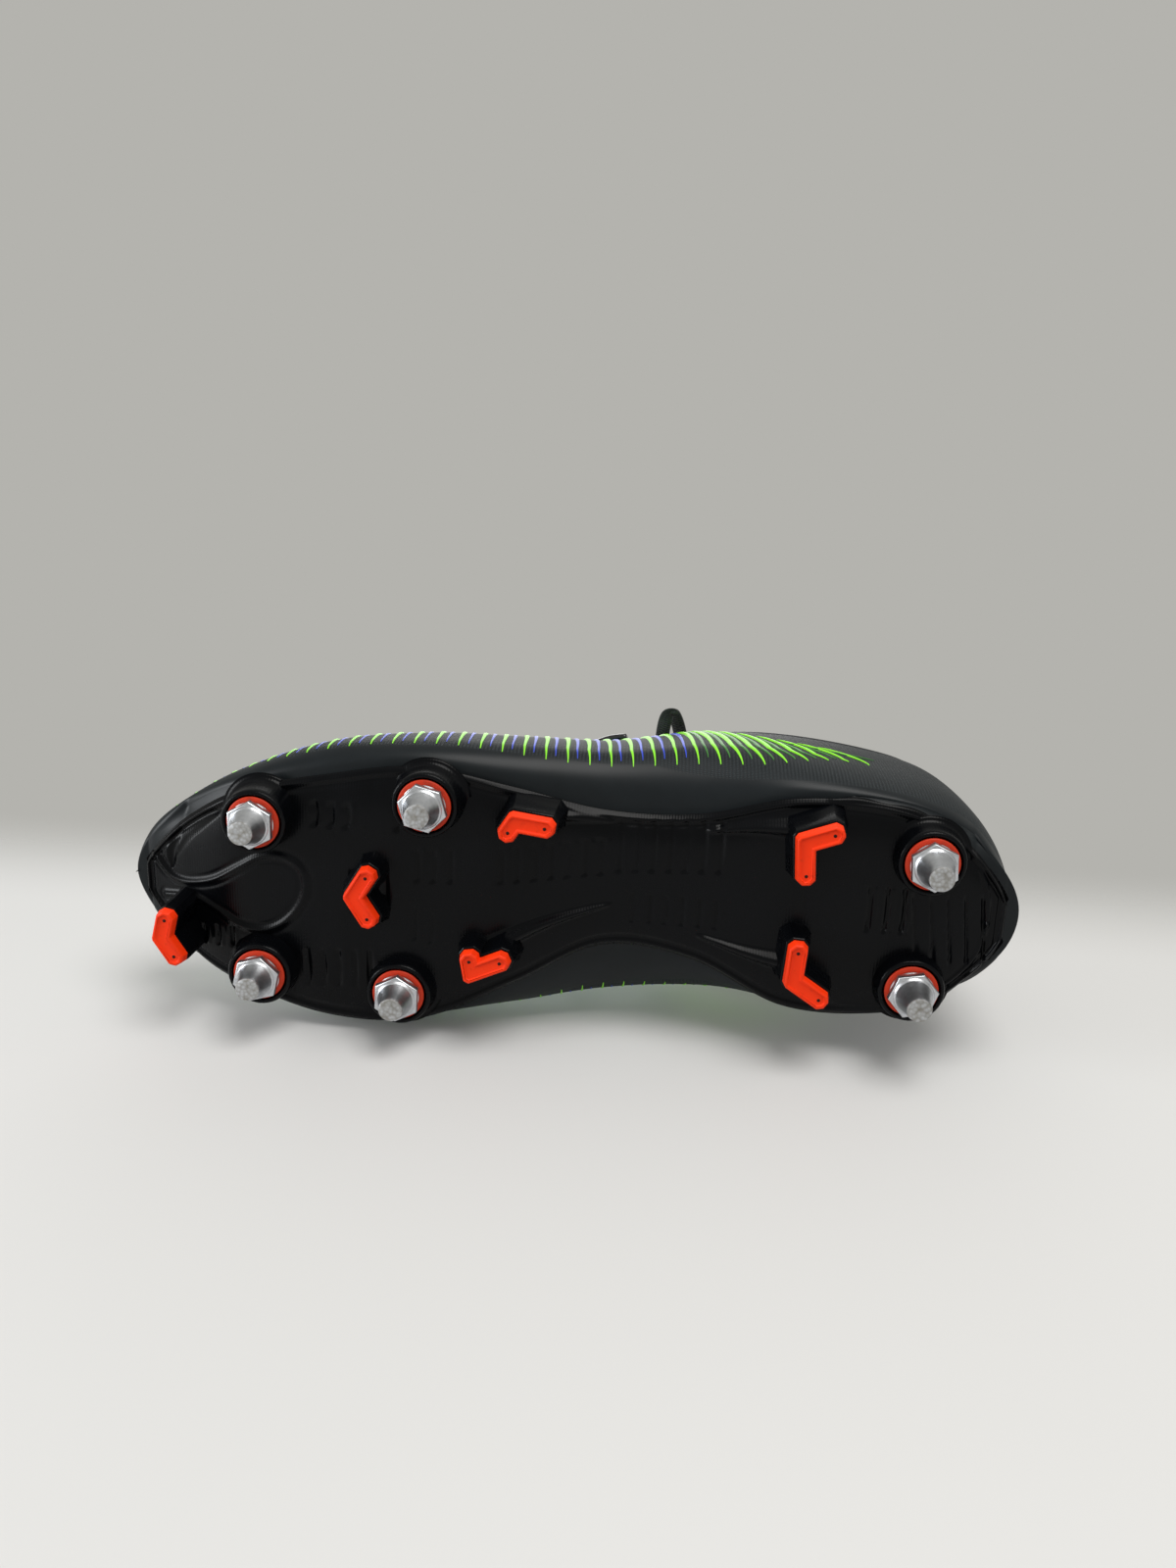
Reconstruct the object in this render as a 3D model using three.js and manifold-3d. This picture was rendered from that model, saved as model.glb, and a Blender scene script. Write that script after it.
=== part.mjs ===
// Soft-ground football boot, left foot, size UK 8.
// Frame: +Z up, the boot stands on its metal stud tips at z = 0, toe towards -Y, heel
// towards +Y, lateral (outer) side towards +X. Millimetres.
import * as THREE from 'three';
import { mergeVertices } from 'three/addons/utils/BufferGeometryUtils.js';
import Module from 'manifold-3d';

const wasm = await Module();
wasm.setup();

// ---------------------------------------------------------------- driving dimensions
const LENGTH = 291;          // toe tip to heel back
const WIDTH = 100;           // across the ball of the foot, outside the upper
const GAP = 0.3;             // clearance between neighbouring pieces
const FLOOR_GAP = 0.7;       // clearance between the curved layers under the foot

const FORE_STUD = 11;        // forefoot stud, ground to its hexagon's seat
const HEEL_STUD = 13;        // heel stud, ground to its hexagon's seat
const BOSS_FLARE = 3.2;      // extra radius where the boss meets the plate
const PLATE_THICK = 2.4;     // soleplate wall
const PLATE_INSET = 4.5;     // soleplate ends short of the upper's toe and heel

const RING_THICK = 1;        // seat ring between hexagon and boss
const RING_R = 8.6;          // seat ring outside radius
const HEX_ACROSS = 14;       // stud hexagon across its flats
const HEX_HEIGHT = 3.2;      // stud hexagon thickness
const CONE_BASE_R = 6.5;     // stud cone where it leaves the hexagon
const TIP_R = 3.85;          // stud cone at the ground
const POST_R = 2.7;          // threaded post
const POST_SOCKET = 5;       // depth of the post inside the stud
const INSERT_R = 4.8;        // threaded insert barrel
const INSERT_FLANGE_R = 8;   // threaded insert flange, above the plate
const INSERT_FLANGE = 1.2;   // flange thickness

const CHEVRON_ARM = 7;       // moulded stud arm width
const CHEVRON_CAP = 3.4;     // orange cap thickness
const CHEVRON_CLEAR = 7;     // cap face above the ground
const CHEVRON_FLARE = 3;     // how far the black base spreads at the plate

const WALL = 1.8;            // upper
const LASTING_MARGIN = 11;   // upper turned in under the foot
const LASTING_WINDOW = [0.12, 0.88]; // walk at which the opening in its floor starts and ends
const BOARD_THICK = 1.8;     // insole board
const BED_ENDS = [0.07, 0.95]; // walk at which board and sockliner start and end
const BOARD_INSET = 5.4;     // insole board and sockliner inside the plate's edge
const SOCK_THICK = 3.6;      // sockliner
const LINING_THICK = 3.6;    // padded collar lining
const STIFFENER = 1.2;       // heel counter and toe puff
const TONGUE_THICK = 3;
const FACING_THICK = 1;      // eyestay
const LACE_R = 1.2;          // lace, drawn in to a round cord
const EYELET_R = 3.1;
const AGLET_R = 1.3;
const EYELETS = 5;           // lace holes on each side

// How finely the curved pieces are faceted.
const ROUND = 20;            // sides of a wide round
const SMALL_ROUND = 12;      // sides of a narrow round
const EYELET_ROUND = 8;     // sides of a lace hole
const CORD_ROUND = 6;        // sides of the lace
const LOFT_STEPS = 26;       // stations from toe to heel
const BED_STEPS = 24;        // stations along the insole board and sockliner
const FLOOR_STEPS = 8;       // across the floor of the upper
const BED_ACROSS = 6;        // across the insole board and sockliner
const FLANK_STEPS = 3;       // up each side, below the belly
const CROWN_STEPS = 5;       // from the belly to the ridge
const BELOW_ALL = -1;        // heights clear of the boot, where cutters start and end
const ABOVE_ALL = 150;

// ---------------------------------------------------------------- shape of the foot
// Sections from toe to heel. at: place along half the length. edge: plate edge, bulge:
// widest part of the upper, both lateral then medial, in hundredths of the width.
// sole: underside of the plate, belly: height of the widest part, top: ridge height,
// ridge: how far the ridge lies to the lateral side.
const SECTIONS = [
  { at: -1.000, edge: [-4, -4], bulge: [-4, -4], sole: 33, belly: 39, top: 43, ridge: -4 },
  { at: -0.958, edge: [8, -17], bulge: [11.5, -21], sole: 30.5, belly: 38, top: 49, ridge: -4 },
  { at: -0.868, edge: [19.5, -31], bulge: [22.5, -33.5], sole: 26, belly: 36, top: 54, ridge: -4 },
  { at: -0.730, edge: [30.5, -39], bulge: [34, -41], sole: 20.5, belly: 33, top: 58, ridge: -4 },
  { at: -0.520, edge: [38, -46], bulge: [44.5, -47.2], sole: 17.3, belly: 32, top: 63, ridge: -4 },
  { at: -0.310, edge: [42, -44.5], bulge: [47.5, -47.1], sole: 17, belly: 34, top: 70, ridge: -4 },
  { at: -0.100, edge: [36, -31.5], bulge: [46, -44], sole: 20, belly: 38, top: 80, ridge: -2 },
  { at: 0.100, edge: [28.8, -18], bulge: [44, -40], sole: 24.5, belly: 43, top: 92, ridge: 1 },
  { at: 0.310, edge: [29, -21], bulge: [46.5, -38], sole: 24.2, belly: 48, top: 104, ridge: 4 },
  { at: 0.520, edge: [37, -33.5], bulge: [45.5, -36], sole: 20, belly: 48, top: 112, ridge: 4 },
  { at: 0.730, edge: [36.5, -34], bulge: [40.5, -35.5], sole: 19, belly: 48, top: 116, ridge: 3 },
  { at: 0.868, edge: [29, -28], bulge: [34, -31], sole: 19, belly: 48, top: 118, ridge: 2 },
  { at: 0.958, edge: [16.5, -15], bulge: [21.5, -18], sole: 19.8, belly: 48, top: 118, ridge: 1.5 },
  { at: 1.000, edge: [1.5, 1.5], bulge: [1.5, 1.5], sole: 20.5, belly: 48, top: 116, ridge: 1.5 },
];
const EDGE_CURL = 3;         // plate edges turn up by this much
const CURL_REACH = 22;       // where the plate is narrower than this, its edges stay level
const CURL_LIMIT = 1.15;     // the turn-up goes no further than this share past the edge
const SHOULDER = 0.72;       // squareness of the upper above its belly, 1 is an ellipse
const HEEL_LEAN = 10;        // the heel's back edge leans forward by this at the top
const COLLAR_TOP = 104;      // highest point of the collar, at the heel
const END_TRIM = 0.014;      // share of the section walk left off at toe and heel
const END_CROWD = 0.05;      // stations stand closer together at toe and heel

const yOf = (at) => at * LENGTH / 2;
const xOf = (hundredths) => hundredths * WIDTH / 100;

// Smooth curve through one column of the section table, read at walk 0 (toe) to 1 (heel).
const WALKS = SECTIONS.map((row) => Math.acos(-row.at) / Math.PI);
function columnAt(read, walk) {
  let i = 0;
  while (i < WALKS.length - 2 && walk > WALKS[i + 1]) i += 1;
  const value = (k) => read(SECTIONS[Math.min(Math.max(k, 0), SECTIONS.length - 1)]);
  const place = (k) => WALKS[Math.min(Math.max(k, 0), WALKS.length - 1)];
  const span = place(i + 1) - place(i);
  const t = (walk - place(i)) / span;
  const slope = (k) => (value(k + 1) - value(k - 1)) / Math.max(place(k + 1) - place(k - 1), 1e-6);
  const [p, q, m, n] = [value(i), value(i + 1), slope(i) * span, slope(i + 1) * span];
  return (2 * t ** 3 - 3 * t ** 2 + 1) * p + (t ** 3 - 2 * t ** 2 + t) * m
    + (3 * t ** 2 - 2 * t ** 3) * q + (t ** 3 - t ** 2) * n;
}
const walkAt = (y, inset = 0) => (
  Math.acos(THREE.MathUtils.clamp(-y / (LENGTH / 2 - inset), -1, 1)) / Math.PI
);

// Everything about the cross-section at a walk, shrunk inwards by inset.
function section(walk, inset = 0) {
  const column = (read) => columnAt(read, walk);
  const side = inset * Math.sin(Math.PI * walk) ** 0.5;
  return {
    y: -(LENGTH / 2 - inset) * Math.cos(Math.PI * walk),
    edge: [xOf(column((r) => r.edge[0])) - side, xOf(column((r) => r.edge[1])) + side],
    bulge: [xOf(column((r) => r.bulge[0])) - side, xOf(column((r) => r.bulge[1])) + side],
    sole: column((r) => r.sole),
    belly: column((r) => r.belly),
    top: column((r) => r.top) - inset,
    ridge: xOf(column((r) => r.ridge)),
  };
}

// Underside of the soleplate: level across the middle and turned up at its edges.
function plateZ(x, y) {
  const s = section(walkAt(y, PLATE_INSET));
  const middle = (s.edge[0] + s.edge[1]) / 2;
  const half = Math.max((s.edge[0] - s.edge[1]) / 2, CURL_REACH);
  const across = Math.min(Math.abs((x - middle) / half), CURL_LIMIT);
  return s.sole + EDGE_CURL * across ** 4;
}
const floorZ = (x, y, rise = 0) => plateZ(x, y) + PLATE_THICK + FLOOR_GAP + rise;

// Height of the upper's outer skin over a point near the ridge, shrunk inwards by inset.
function skinZ(x, y, inset = 0) {
  const s = section(walkAt(y, inset), inset);
  const reach = x > s.ridge ? s.bulge[0] - s.ridge : s.ridge - s.bulge[1];
  const across = Math.min(Math.abs(x - s.ridge) / reach, 1);
  return s.belly + (s.top - s.belly) * (1 - across ** (2 / SHOULDER)) ** (SHOULDER / 2);
}

// ---------------------------------------------------------------- mesh helpers
function meshGeometry(points, faces) {
  const geometry = new THREE.BufferGeometry();
  const flat = points.flatMap((p) => p.toArray());
  geometry.setAttribute('position', new THREE.Float32BufferAttribute(flat, 3));
  geometry.setIndex(faces.flat());
  return geometry;
}

// Closed solid through a row of closed rings with equal numbers of points. Each end is
// closed by a fan over the first few steps of the ring, which may lie in one line, and
// above it by a strip that zigzags from side to side.
function loft(rings, lineSteps = 0) {
  const n = rings[0].length;
  const faces = [];
  for (let r = 0; r < rings.length - 1; r += 1) {
    for (let k = 0; k < n; k += 1) {
      const [a, b] = [r * n + k, r * n + (k + 1) % n];
      faces.push([a, b, b + n], [a, b + n, a + n]);
    }
  }
  const last = (rings.length - 1) * n;
  const cap = (a, b, c) => faces.push([a, c, b], [a + last, b + last, c + last]);
  for (let k = 0; k < lineSteps; k += 1) cap(k, k + 1, n - 1);
  for (let k = 0; lineSteps + k + 1 < n - 1 - k; k += 1) {
    const [a, b] = [lineSteps + k, n - 1 - k];
    cap(a, a + 1, b);
    if (a + 1 < b - 1) cap(a + 1, b - 1, b);
  }
  return outward(meshGeometry(rings.flat(), faces));
}

function signedVolume(geometry) {
  const position = geometry.attributes.position;
  const index = geometry.index.array;
  const [a, b, c] = [new THREE.Vector3(), new THREE.Vector3(), new THREE.Vector3()];
  let volume = 0;
  for (let i = 0; i < index.length; i += 3) {
    a.fromBufferAttribute(position, index[i]);
    b.fromBufferAttribute(position, index[i + 1]);
    c.fromBufferAttribute(position, index[i + 2]);
    volume += a.dot(b.cross(c)) / 6;
  }
  return volume;
}

function outward(geometry) {
  if (signedVolume(geometry) < 0) {
    const index = geometry.index.array;
    for (let i = 0; i < index.length; i += 3) [index[i], index[i + 1]] = [index[i + 1], index[i]];
  }
  return geometry;
}

function solid(geometry) {
  const bare = geometry.clone();
  bare.deleteAttribute('normal');
  bare.deleteAttribute('uv');
  const merged = mergeVertices(bare, 1e-5);
  return new wasm.Manifold(new wasm.Mesh({
    numProp: 3,
    vertProperties: new Float32Array(merged.attributes.position.array),
    triVerts: new Uint32Array(merged.index.array),
  }));
}

function geometryOf(body) {
  const { vertProperties, triVerts } = body.getMesh();
  const geometry = new THREE.BufferGeometry();
  geometry.setAttribute('position', new THREE.BufferAttribute(new Float32Array(vertProperties), 3));
  geometry.setIndex(new THREE.BufferAttribute(new Uint32Array(triVerts), 1));
  return geometry;
}

const steps = (count) => Array.from({ length: count + 1 }, (_, k) => k / count);
const between = (a, b, count) => steps(count).map((t) => THREE.MathUtils.lerp(a, b, t));
const vec = (x, y, z) => new THREE.Vector3(x, y, z);

function cylinder(radiusTop, radiusBottom, z0, z1, x, y, sides = ROUND) {
  return new THREE.CylinderGeometry(radiusTop, radiusBottom, z1 - z0, sides)
    .rotateX(Math.PI / 2).translate(x, y, (z0 + z1) / 2);
}

// Vertical prism over a plan outline given as [x, y] pairs.
function prism(outline, z0, z1) {
  const shape = new THREE.Shape(outline.map(([x, y]) => new THREE.Vector2(x, y)));
  return new THREE.ExtrudeGeometry(shape, { depth: z1 - z0, bevelEnabled: false }).translate(0, 0, z0);
}

const material = (color, roughness, metalness = 0) => (
  new THREE.MeshStandardMaterial({ color, roughness, metalness })
);
const boot = new THREE.Group();
function addPiece(name, geometry, look) {
  const mesh = new THREE.Mesh(geometry, look);
  mesh.name = name;
  boot.add(mesh);
}

// ---------------------------------------------------------------- foot-shaped bodies
// One ring of the upper: across the floor, up the lateral side to the ridge, down again.
function upperRing(walk, inset, rise) {
  const s = section(walk, inset);
  const ring = [];
  const floorAt = (x) => floorZ(x, s.y, rise);
  for (const t of steps(FLOOR_STEPS)) {
    const x = THREE.MathUtils.lerp(s.edge[1], s.edge[0], t);
    ring.push(vec(x, s.y, floorAt(x)));
  }
  const side = (k) => {
    const [edge, bulge] = [s.edge[k], s.bulge[k]];
    const foot = floorAt(edge);
    const flank = steps(FLANK_STEPS).slice(1, -1).map((t) => {
      const angle = t * Math.PI / 2;
      return vec(
        edge + (bulge - edge) * Math.sin(angle),
        s.y, foot + (s.belly - foot) * (1 - Math.cos(angle)),
      );
    });
    const crown = steps(CROWN_STEPS).slice(0, -1).map((t) => {
      const angle = t * Math.PI / 2;
      return vec(
        s.ridge + (bulge - s.ridge) * Math.cos(angle) ** SHOULDER,
        s.y, s.belly + (s.top - s.belly) * Math.sin(angle) ** SHOULDER,
      );
    });
    return [...flank, ...crown];
  };
  ring.push(...side(0), vec(s.ridge, s.y, s.top), ...side(1).reverse());
  return ring.map((p) => leanHeel(p, walk, s.belly));
}

function leanHeel(point, walk, belly) {
  const back = THREE.MathUtils.smoothstep(walk, 0.7, 1);
  const up = Math.max(point.z - belly, 0) / (COLLAR_TOP - belly);
  const tuck = Math.max(belly - point.z, 0) / belly;
  return vec(point.x, point.y - back * (HEEL_LEAN * up ** 2 + HEEL_LEAN * tuck ** 2), point.z);
}

const crowded = (t) => t - END_CROWD * Math.sin(2 * Math.PI * t);
const footBody = (inset, rise) => loft(steps(LOFT_STEPS).map((t) => (
  upperRing(THREE.MathUtils.lerp(END_TRIM, 1 - END_TRIM, crowded(t)), inset, rise)
)), FLOOR_STEPS);

// Cutter that removes everything above the topline, seen from the side. Each point is a
// place along half the length and a share of the collar's height.
const TOPLINE = [
  [0.06, 1.4], [0.06, 0.98], [0.16, 0.945], [0.3, 0.86], [0.5, 0.775], [0.68, 0.79],
  [0.84, 0.9], [0.93, 0.985], [1.1, 1.0], [1.1, 1.4],
];
const TOPLINE_STEPS = 12;
function toplineCutter(drop = 0) {
  const shape = new THREE.Shape();
  const at = ([f, h]) => new THREE.Vector2(yOf(f), h * COLLAR_TOP - drop);
  const [first, ...rest] = TOPLINE;
  shape.moveTo(at(first).x, at(first).y);
  shape.lineTo(at(rest[0]).x, at(rest[0]).y);
  shape.splineThru(rest.slice(1, -1).map(at));
  shape.lineTo(at(rest.at(-1)).x, at(rest.at(-1)).y);
  const extrusion = { depth: 2 * WIDTH, bevelEnabled: false, curveSegments: TOPLINE_STEPS };
  return new THREE.ExtrudeGeometry(shape, extrusion)
    .rotateZ(Math.PI / 2).rotateY(Math.PI / 2).translate(-WIDTH, 0, 0);
}

// Plan outline of the throat, where the tongue shows between the eyestays.
const THROAT_FRONT = -0.33;  // front end of the throat, along half the length
const THROAT_BACK = 0.21;    // where the throat runs into the collar
const THROAT_HALF = 9;       // half width at the front
const THROAT_SPREAD = 7;     // extra half width at the back
const THROAT_RUN_OUT = 12;   // the throat's cutter runs on into the collar
const THROAT_STEPS = 8;
const NOSE_STEPS = 6;        // round the front end of the throat
function throatHalf(y) {
  const t = (y - yOf(THROAT_FRONT)) / (yOf(THROAT_BACK) - yOf(THROAT_FRONT));
  return THROAT_HALF + THROAT_SPREAD * Math.max(t, 0);
}
const ridgeX = (y) => section(walkAt(y)).ridge;
function throatOutline() {
  const front = yOf(THROAT_FRONT);
  const ys = between(front, yOf(THROAT_BACK) + THROAT_RUN_OUT, THROAT_STEPS);
  const side = (sign) => ys.map((y) => [ridgeX(y) + sign * throatHalf(y), y]);
  const nose = steps(NOSE_STEPS).slice(1, -1).map((t) => {
    const angle = Math.PI * (1 + t);
    return [ridgeX(front) + THROAT_HALF * Math.cos(angle), front + THROAT_HALF * Math.sin(angle)];
  });
  return [...side(-1).reverse(), ...nose, ...side(1)];
}

const box = (x0, x1, y0, y1, z0, z1) => solid(
  new THREE.BoxGeometry(x1 - x0, y1 - y0, z1 - z0)
    .translate((x0 + x1) / 2, (y0 + y1) / 2, (z0 + z1) / 2),
);

// Solid between two heights over a strip of plan: left and right are functions of y.
function sheet(ys, left, right, lowZ, highZ, across = 8) {
  return loft(ys.map((y) => {
    const xs = steps(across).map((t) => THREE.MathUtils.lerp(left(y), right(y), t));
    return [...xs.map((x) => vec(x, y, lowZ(x, y))), ...xs.reverse().map((x) => vec(x, y, highZ(x, y)))];
  }));
}

// Foot-shaped layer under the foot, inset from the plate's edge, between two walks.
function footLayer(inset, rise, thick, [from, to], count = LOFT_STEPS, across = FLOOR_STEPS) {
  const rings = steps(count).map((t) => {
    const walk = THREE.MathUtils.lerp(from, to, crowded(t));
    const s = { ...section(walk, inset), y: section(walk, Math.max(inset, PLATE_INSET)).y };
    const xs = between(s.edge[1], s.edge[0], across);
    const low = xs.map((x) => vec(x, s.y, plateZ(x, s.y) + rise));
    return [...low, ...xs.reverse().map((x) => vec(x, s.y, plateZ(x, s.y) + rise + thick))];
  });
  return loft(rings);
}

// Round cord along hand-placed points.
function cord(points, radius, count) {
  const path = new THREE.CatmullRomCurve3(points, false, 'centripetal');
  const rim = steps(CORD_ROUND).slice(0, -1).map((t) => new THREE.Vector2(
    radius * Math.cos(2 * Math.PI * t), radius * Math.sin(2 * Math.PI * t),
  ));
  const extrusion = { steps: count, extrudePath: path, bevelEnabled: false };
  return new THREE.ExtrudeGeometry(new THREE.Shape(rim), extrusion);
}

// Prism between two outlines of equal point count.
function taper(lowOutline, z0, highOutline, z1) {
  const n = lowOutline.length;
  const low = lowOutline.map(([x, y]) => vec(x, y, z0));
  const high = highOutline.map(([x, y]) => vec(x, y, z1));
  const plan = lowOutline.map(([x, y]) => new THREE.Vector2(x, y));
  const caps = THREE.ShapeUtils.triangulateShape(plan, []);
  const clockwise = THREE.ShapeUtils.isClockWise(plan);
  const faces = [];
  for (const [a, b, c] of caps) faces.push([a, c, b], [a + n, b + n, c + n]);
  for (let k = 0; k < n; k += 1) {
    const j = (k + 1) % n;
    faces.push(...(clockwise ? [[k, j + n, j], [k, k + n, j + n]] : [[k, j, j + n], [k, j + n, k + n]]));
  }
  return outward(meshGeometry([...low, ...high], faces));
}

// ---------------------------------------------------------------- screw-in studs
// at: place along half the length, across: hundredths of the width.
const STUDS = [
  { name: 'fore_lateral', at: -0.657, across: 23.3, tall: FORE_STUD },
  { name: 'ball_lateral', at: -0.284, across: 31.6, tall: FORE_STUD },
  { name: 'fore_medial', at: -0.659, across: -28.6, tall: FORE_STUD },
  { name: 'ball_medial', at: -0.345, across: -32.6, tall: FORE_STUD },
  { name: 'heel_lateral', at: 0.789, across: 20.8, tall: HEEL_STUD },
  { name: 'heel_medial', at: 0.775, across: -21.6, tall: HEEL_STUD },
].map((stud) => ({ ...stud, x: xOf(stud.across), y: yOf(stud.at) }));
const FLANGE_SINK = 1;       // insert flange below the plate's upper face
const CONE_LAP = 0.5;        // the cone runs this far into the hexagon
const recessZ = (stud) => stud.tall + RING_THICK + 2 * GAP;
const flangeTop = (stud) => plateZ(stud.x, stud.y) + PLATE_THICK - FLANGE_SINK;

const round = (radius, z0, z1, { x, y }, sides = ROUND) => (
  solid(cylinder(radius, radius, z0, z1, x, y, sides))
);

function studBody(stud) {
  const { x, y, tall } = stud;
  const hexagon = round(HEX_ACROSS / Math.sqrt(3), tall - HEX_HEIGHT, tall, stud, 6);
  const cone = solid(cylinder(CONE_BASE_R, TIP_R, 0, tall - HEX_HEIGHT + CONE_LAP, x, y));
  const socket = round(POST_R + GAP, tall - POST_SOCKET - GAP, ABOVE_ALL, stud, SMALL_ROUND);
  return geometryOf(hexagon.add(cone).subtract(socket));
}

function ringBody(stud) {
  const outer = round(RING_R, stud.tall + GAP, stud.tall + GAP + RING_THICK, stud);
  return geometryOf(outer.subtract(round(POST_R + 2 * GAP, BELOW_ALL, ABOVE_ALL, stud, SMALL_ROUND)));
}

function postBody(stud) {
  return geometryOf(round(POST_R, stud.tall - POST_SOCKET, flangeTop(stud) - GAP, stud, SMALL_ROUND));
}

function insertBody(stud) {
  const top = flangeTop(stud);
  const barrel = round(INSERT_R, recessZ(stud) + GAP, top - INSERT_FLANGE / 2, stud, SMALL_ROUND);
  const flange = round(INSERT_FLANGE_R, top - INSERT_FLANGE, top, stud);
  const bore = round(POST_R + GAP, BELOW_ALL, ABOVE_ALL, stud, SMALL_ROUND);
  return geometryOf(barrel.add(flange).subtract(bore));
}

// ---------------------------------------------------------------- moulded chevron studs
// Apex place, then each arm's direction in degrees from +X and its length.
const CHEVRONS = [
  { name: 'toe_medial', at: -0.866, across: -16, arms: [[14, 9.5], [148, 10.5]] },
  { name: 'fore_centre', at: -0.435, across: 1.6, arms: [[32, 11], [148, 11.5]] },
  { name: 'mid_lateral', at: -0.087, across: 28.8, arms: [[213, 7], [98, 12.5]] },
  { name: 'mid_medial', at: -0.177, across: -21.8, arms: [[-10, 7.2], [66, 13]] },
  { name: 'heel_lateral', at: 0.519, across: 27.2, arms: [[176, 13.5], [70, 12]] },
  { name: 'heel_medial', at: 0.517, across: -18.2, arms: [[4, 13], [124, 13]] },
].map((chevron) => ({ ...chevron, x: xOf(chevron.across), y: yOf(chevron.at) }));
const CHEVRON_CORNER = 1.6;  // cut corners at the arm ends
const CHEVRON_APEX = 0.6;    // share of the outer apex left by its cut corner
const CHEVRON_DRAFT = 0.3;   // the cap narrows towards its face
const CHEVRON_RIM = 1.3;     // raised rim round the cap's face
const CHEVRON_DISH = 0.5;    // depth of the face inside the rim

function chevronOutline({ x, y, arms }, grow = 0) {
  const half = CHEVRON_ARM / 2 + grow;
  const cut = CHEVRON_CORNER + Math.max(grow, 0) / 2;
  const [a, b] = arms.map(([degrees, long]) => {
    const angle = THREE.MathUtils.degToRad(degrees);
    const along = new THREE.Vector2(Math.cos(angle), Math.sin(angle));
    return { along, out: new THREE.Vector2(-along.y, along.x), long: long + grow };
  });
  const inner = a.along.clone().add(b.along).normalize();
  for (const arm of [a, b]) if (arm.out.dot(inner) > 0) arm.out.negate();
  const point = (arm, forward, sideways) => [
    x + arm.along.x * forward + arm.out.x * sideways,
    y + arm.along.y * forward + arm.out.y * sideways,
  ];
  const openness = Math.sqrt((1 - a.along.dot(b.along)) / 2);
  const apex = CHEVRON_APEX * half * Math.sqrt(1 - openness ** 2) / openness;
  return [
    [x + inner.x * half / openness, y + inner.y * half / openness],
    point(a, a.long - cut, -half), point(a, a.long, cut - half), point(a, a.long, half - cut),
    point(a, a.long - cut, half), point(a, -apex, half),
    point(b, -apex, half), point(b, b.long - cut, half),
    point(b, b.long, half - cut), point(b, b.long, cut - half), point(b, b.long - cut, -half),
  ];
}

function chevronCap(chevron) {
  const face = chevronOutline(chevron, -CHEVRON_DRAFT);
  const body = taper(face, CHEVRON_CLEAR, chevronOutline(chevron), CHEVRON_CLEAR + CHEVRON_CAP);
  const hollow = chevronOutline(chevron, -CHEVRON_DRAFT - CHEVRON_RIM);
  const dish = prism(hollow, BELOW_ALL, CHEVRON_CLEAR + CHEVRON_DISH);
  return geometryOf(solid(body).subtract(solid(dish)));
}

// ---------------------------------------------------------------- soleplate
const BOSS_LIP = 10.2;       // boss radius round the seat ring
const PLATE_ENDS = 0.03;     // share of the walk left off the plate at toe and heel
const SEAT_LEDGE = 0.3;      // the black base shows this much round an orange cap
const UNDER_REACH = 60;      // depth of the space that the bosses may fill under the plate

const studBoss = (stud, root) => solid(
  cylinder(BOSS_LIP + BOSS_FLARE, BOSS_LIP, stud.tall + GAP, root, stud.x, stud.y),
);

function chevronBase(chevron, root) {
  const seat = CHEVRON_CLEAR + CHEVRON_CAP + GAP;
  const foot = chevronOutline(chevron, SEAT_LEDGE);
  return solid(taper(foot, seat, chevronOutline(chevron, CHEVRON_FLARE), root));
}

function soleplate() {
  const ends = [PLATE_ENDS, 1 - PLATE_ENDS];
  const plate = solid(footLayer(0, 0, PLATE_THICK, ends));
  const below = solid(footLayer(0, PLATE_THICK / 2 - UNDER_REACH, UNDER_REACH, ends));
  const rootAt = ({ x, y }) => plateZ(x, y) + 2 * PLATE_THICK;
  const bosses = STUDS.map((stud) => studBoss(stud, rootAt(stud)));
  const bases = CHEVRONS.map((chevron) => chevronBase(chevron, rootAt(chevron)));
  const feet = [...bosses, ...bases].reduce((joined, piece) => joined.add(piece));
  let body = plate.add(feet.intersect(below));
  for (const stud of STUDS) {
    const flangeFoot = flangeTop(stud) - INSERT_FLANGE - GAP;
    body = body
      .subtract(round(RING_R + GAP, BELOW_ALL, recessZ(stud), stud))
      .subtract(round(INSERT_R + GAP, BELOW_ALL, ABOVE_ALL, stud, SMALL_ROUND))
      .subtract(round(INSERT_FLANGE_R + GAP, flangeFoot, ABOVE_ALL, stud));
  }
  return geometryOf(body);
}

// ---------------------------------------------------------------- upper and what it holds
const BOARD_SLACK = 0.3;     // the board's straight facets need this much more room
const BOARD_RISE = PLATE_THICK + WALL + 2 * FLOOR_GAP + BOARD_SLACK;
const SOCK_RISE = BOARD_RISE + BOARD_THICK + FLOOR_GAP;
const INNER = WALL + GAP;    // inset of whatever lies against the upper's inside
const LACE_UNDER = WALL + GAP + LACE_R;
const LACE_SWING = 0.35;     // extra room for the lace where it bends
const TONGUE_INSET = LACE_UNDER + LACE_R + GAP + 4 * LACE_SWING;

const EYELET_EDGE = 5.5;     // eyelet centre to the throat's edge
const EYELET_FIRST = 9;      // first eyelet behind the throat's front end
const EYELET_LAST = 6;       // last eyelet in front of the throat's back end
const eyeletYs = between(yOf(THROAT_FRONT) + EYELET_FIRST, yOf(THROAT_BACK) - EYELET_LAST, EYELETS - 1);
const eyeletX = (y, side) => ridgeX(y) + side * (throatHalf(y) + EYELET_EDGE);
const UPPER_HALF = 40;       // height from which lace holes and throat are cut upwards
const eyelets = () => eyeletYs.flatMap((y) => [1, -1].map((side) => (
  round(EYELET_R, UPPER_HALF, ABOVE_ALL, { x: eyeletX(y, side), y }, EYELET_ROUND)
)));

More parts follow.
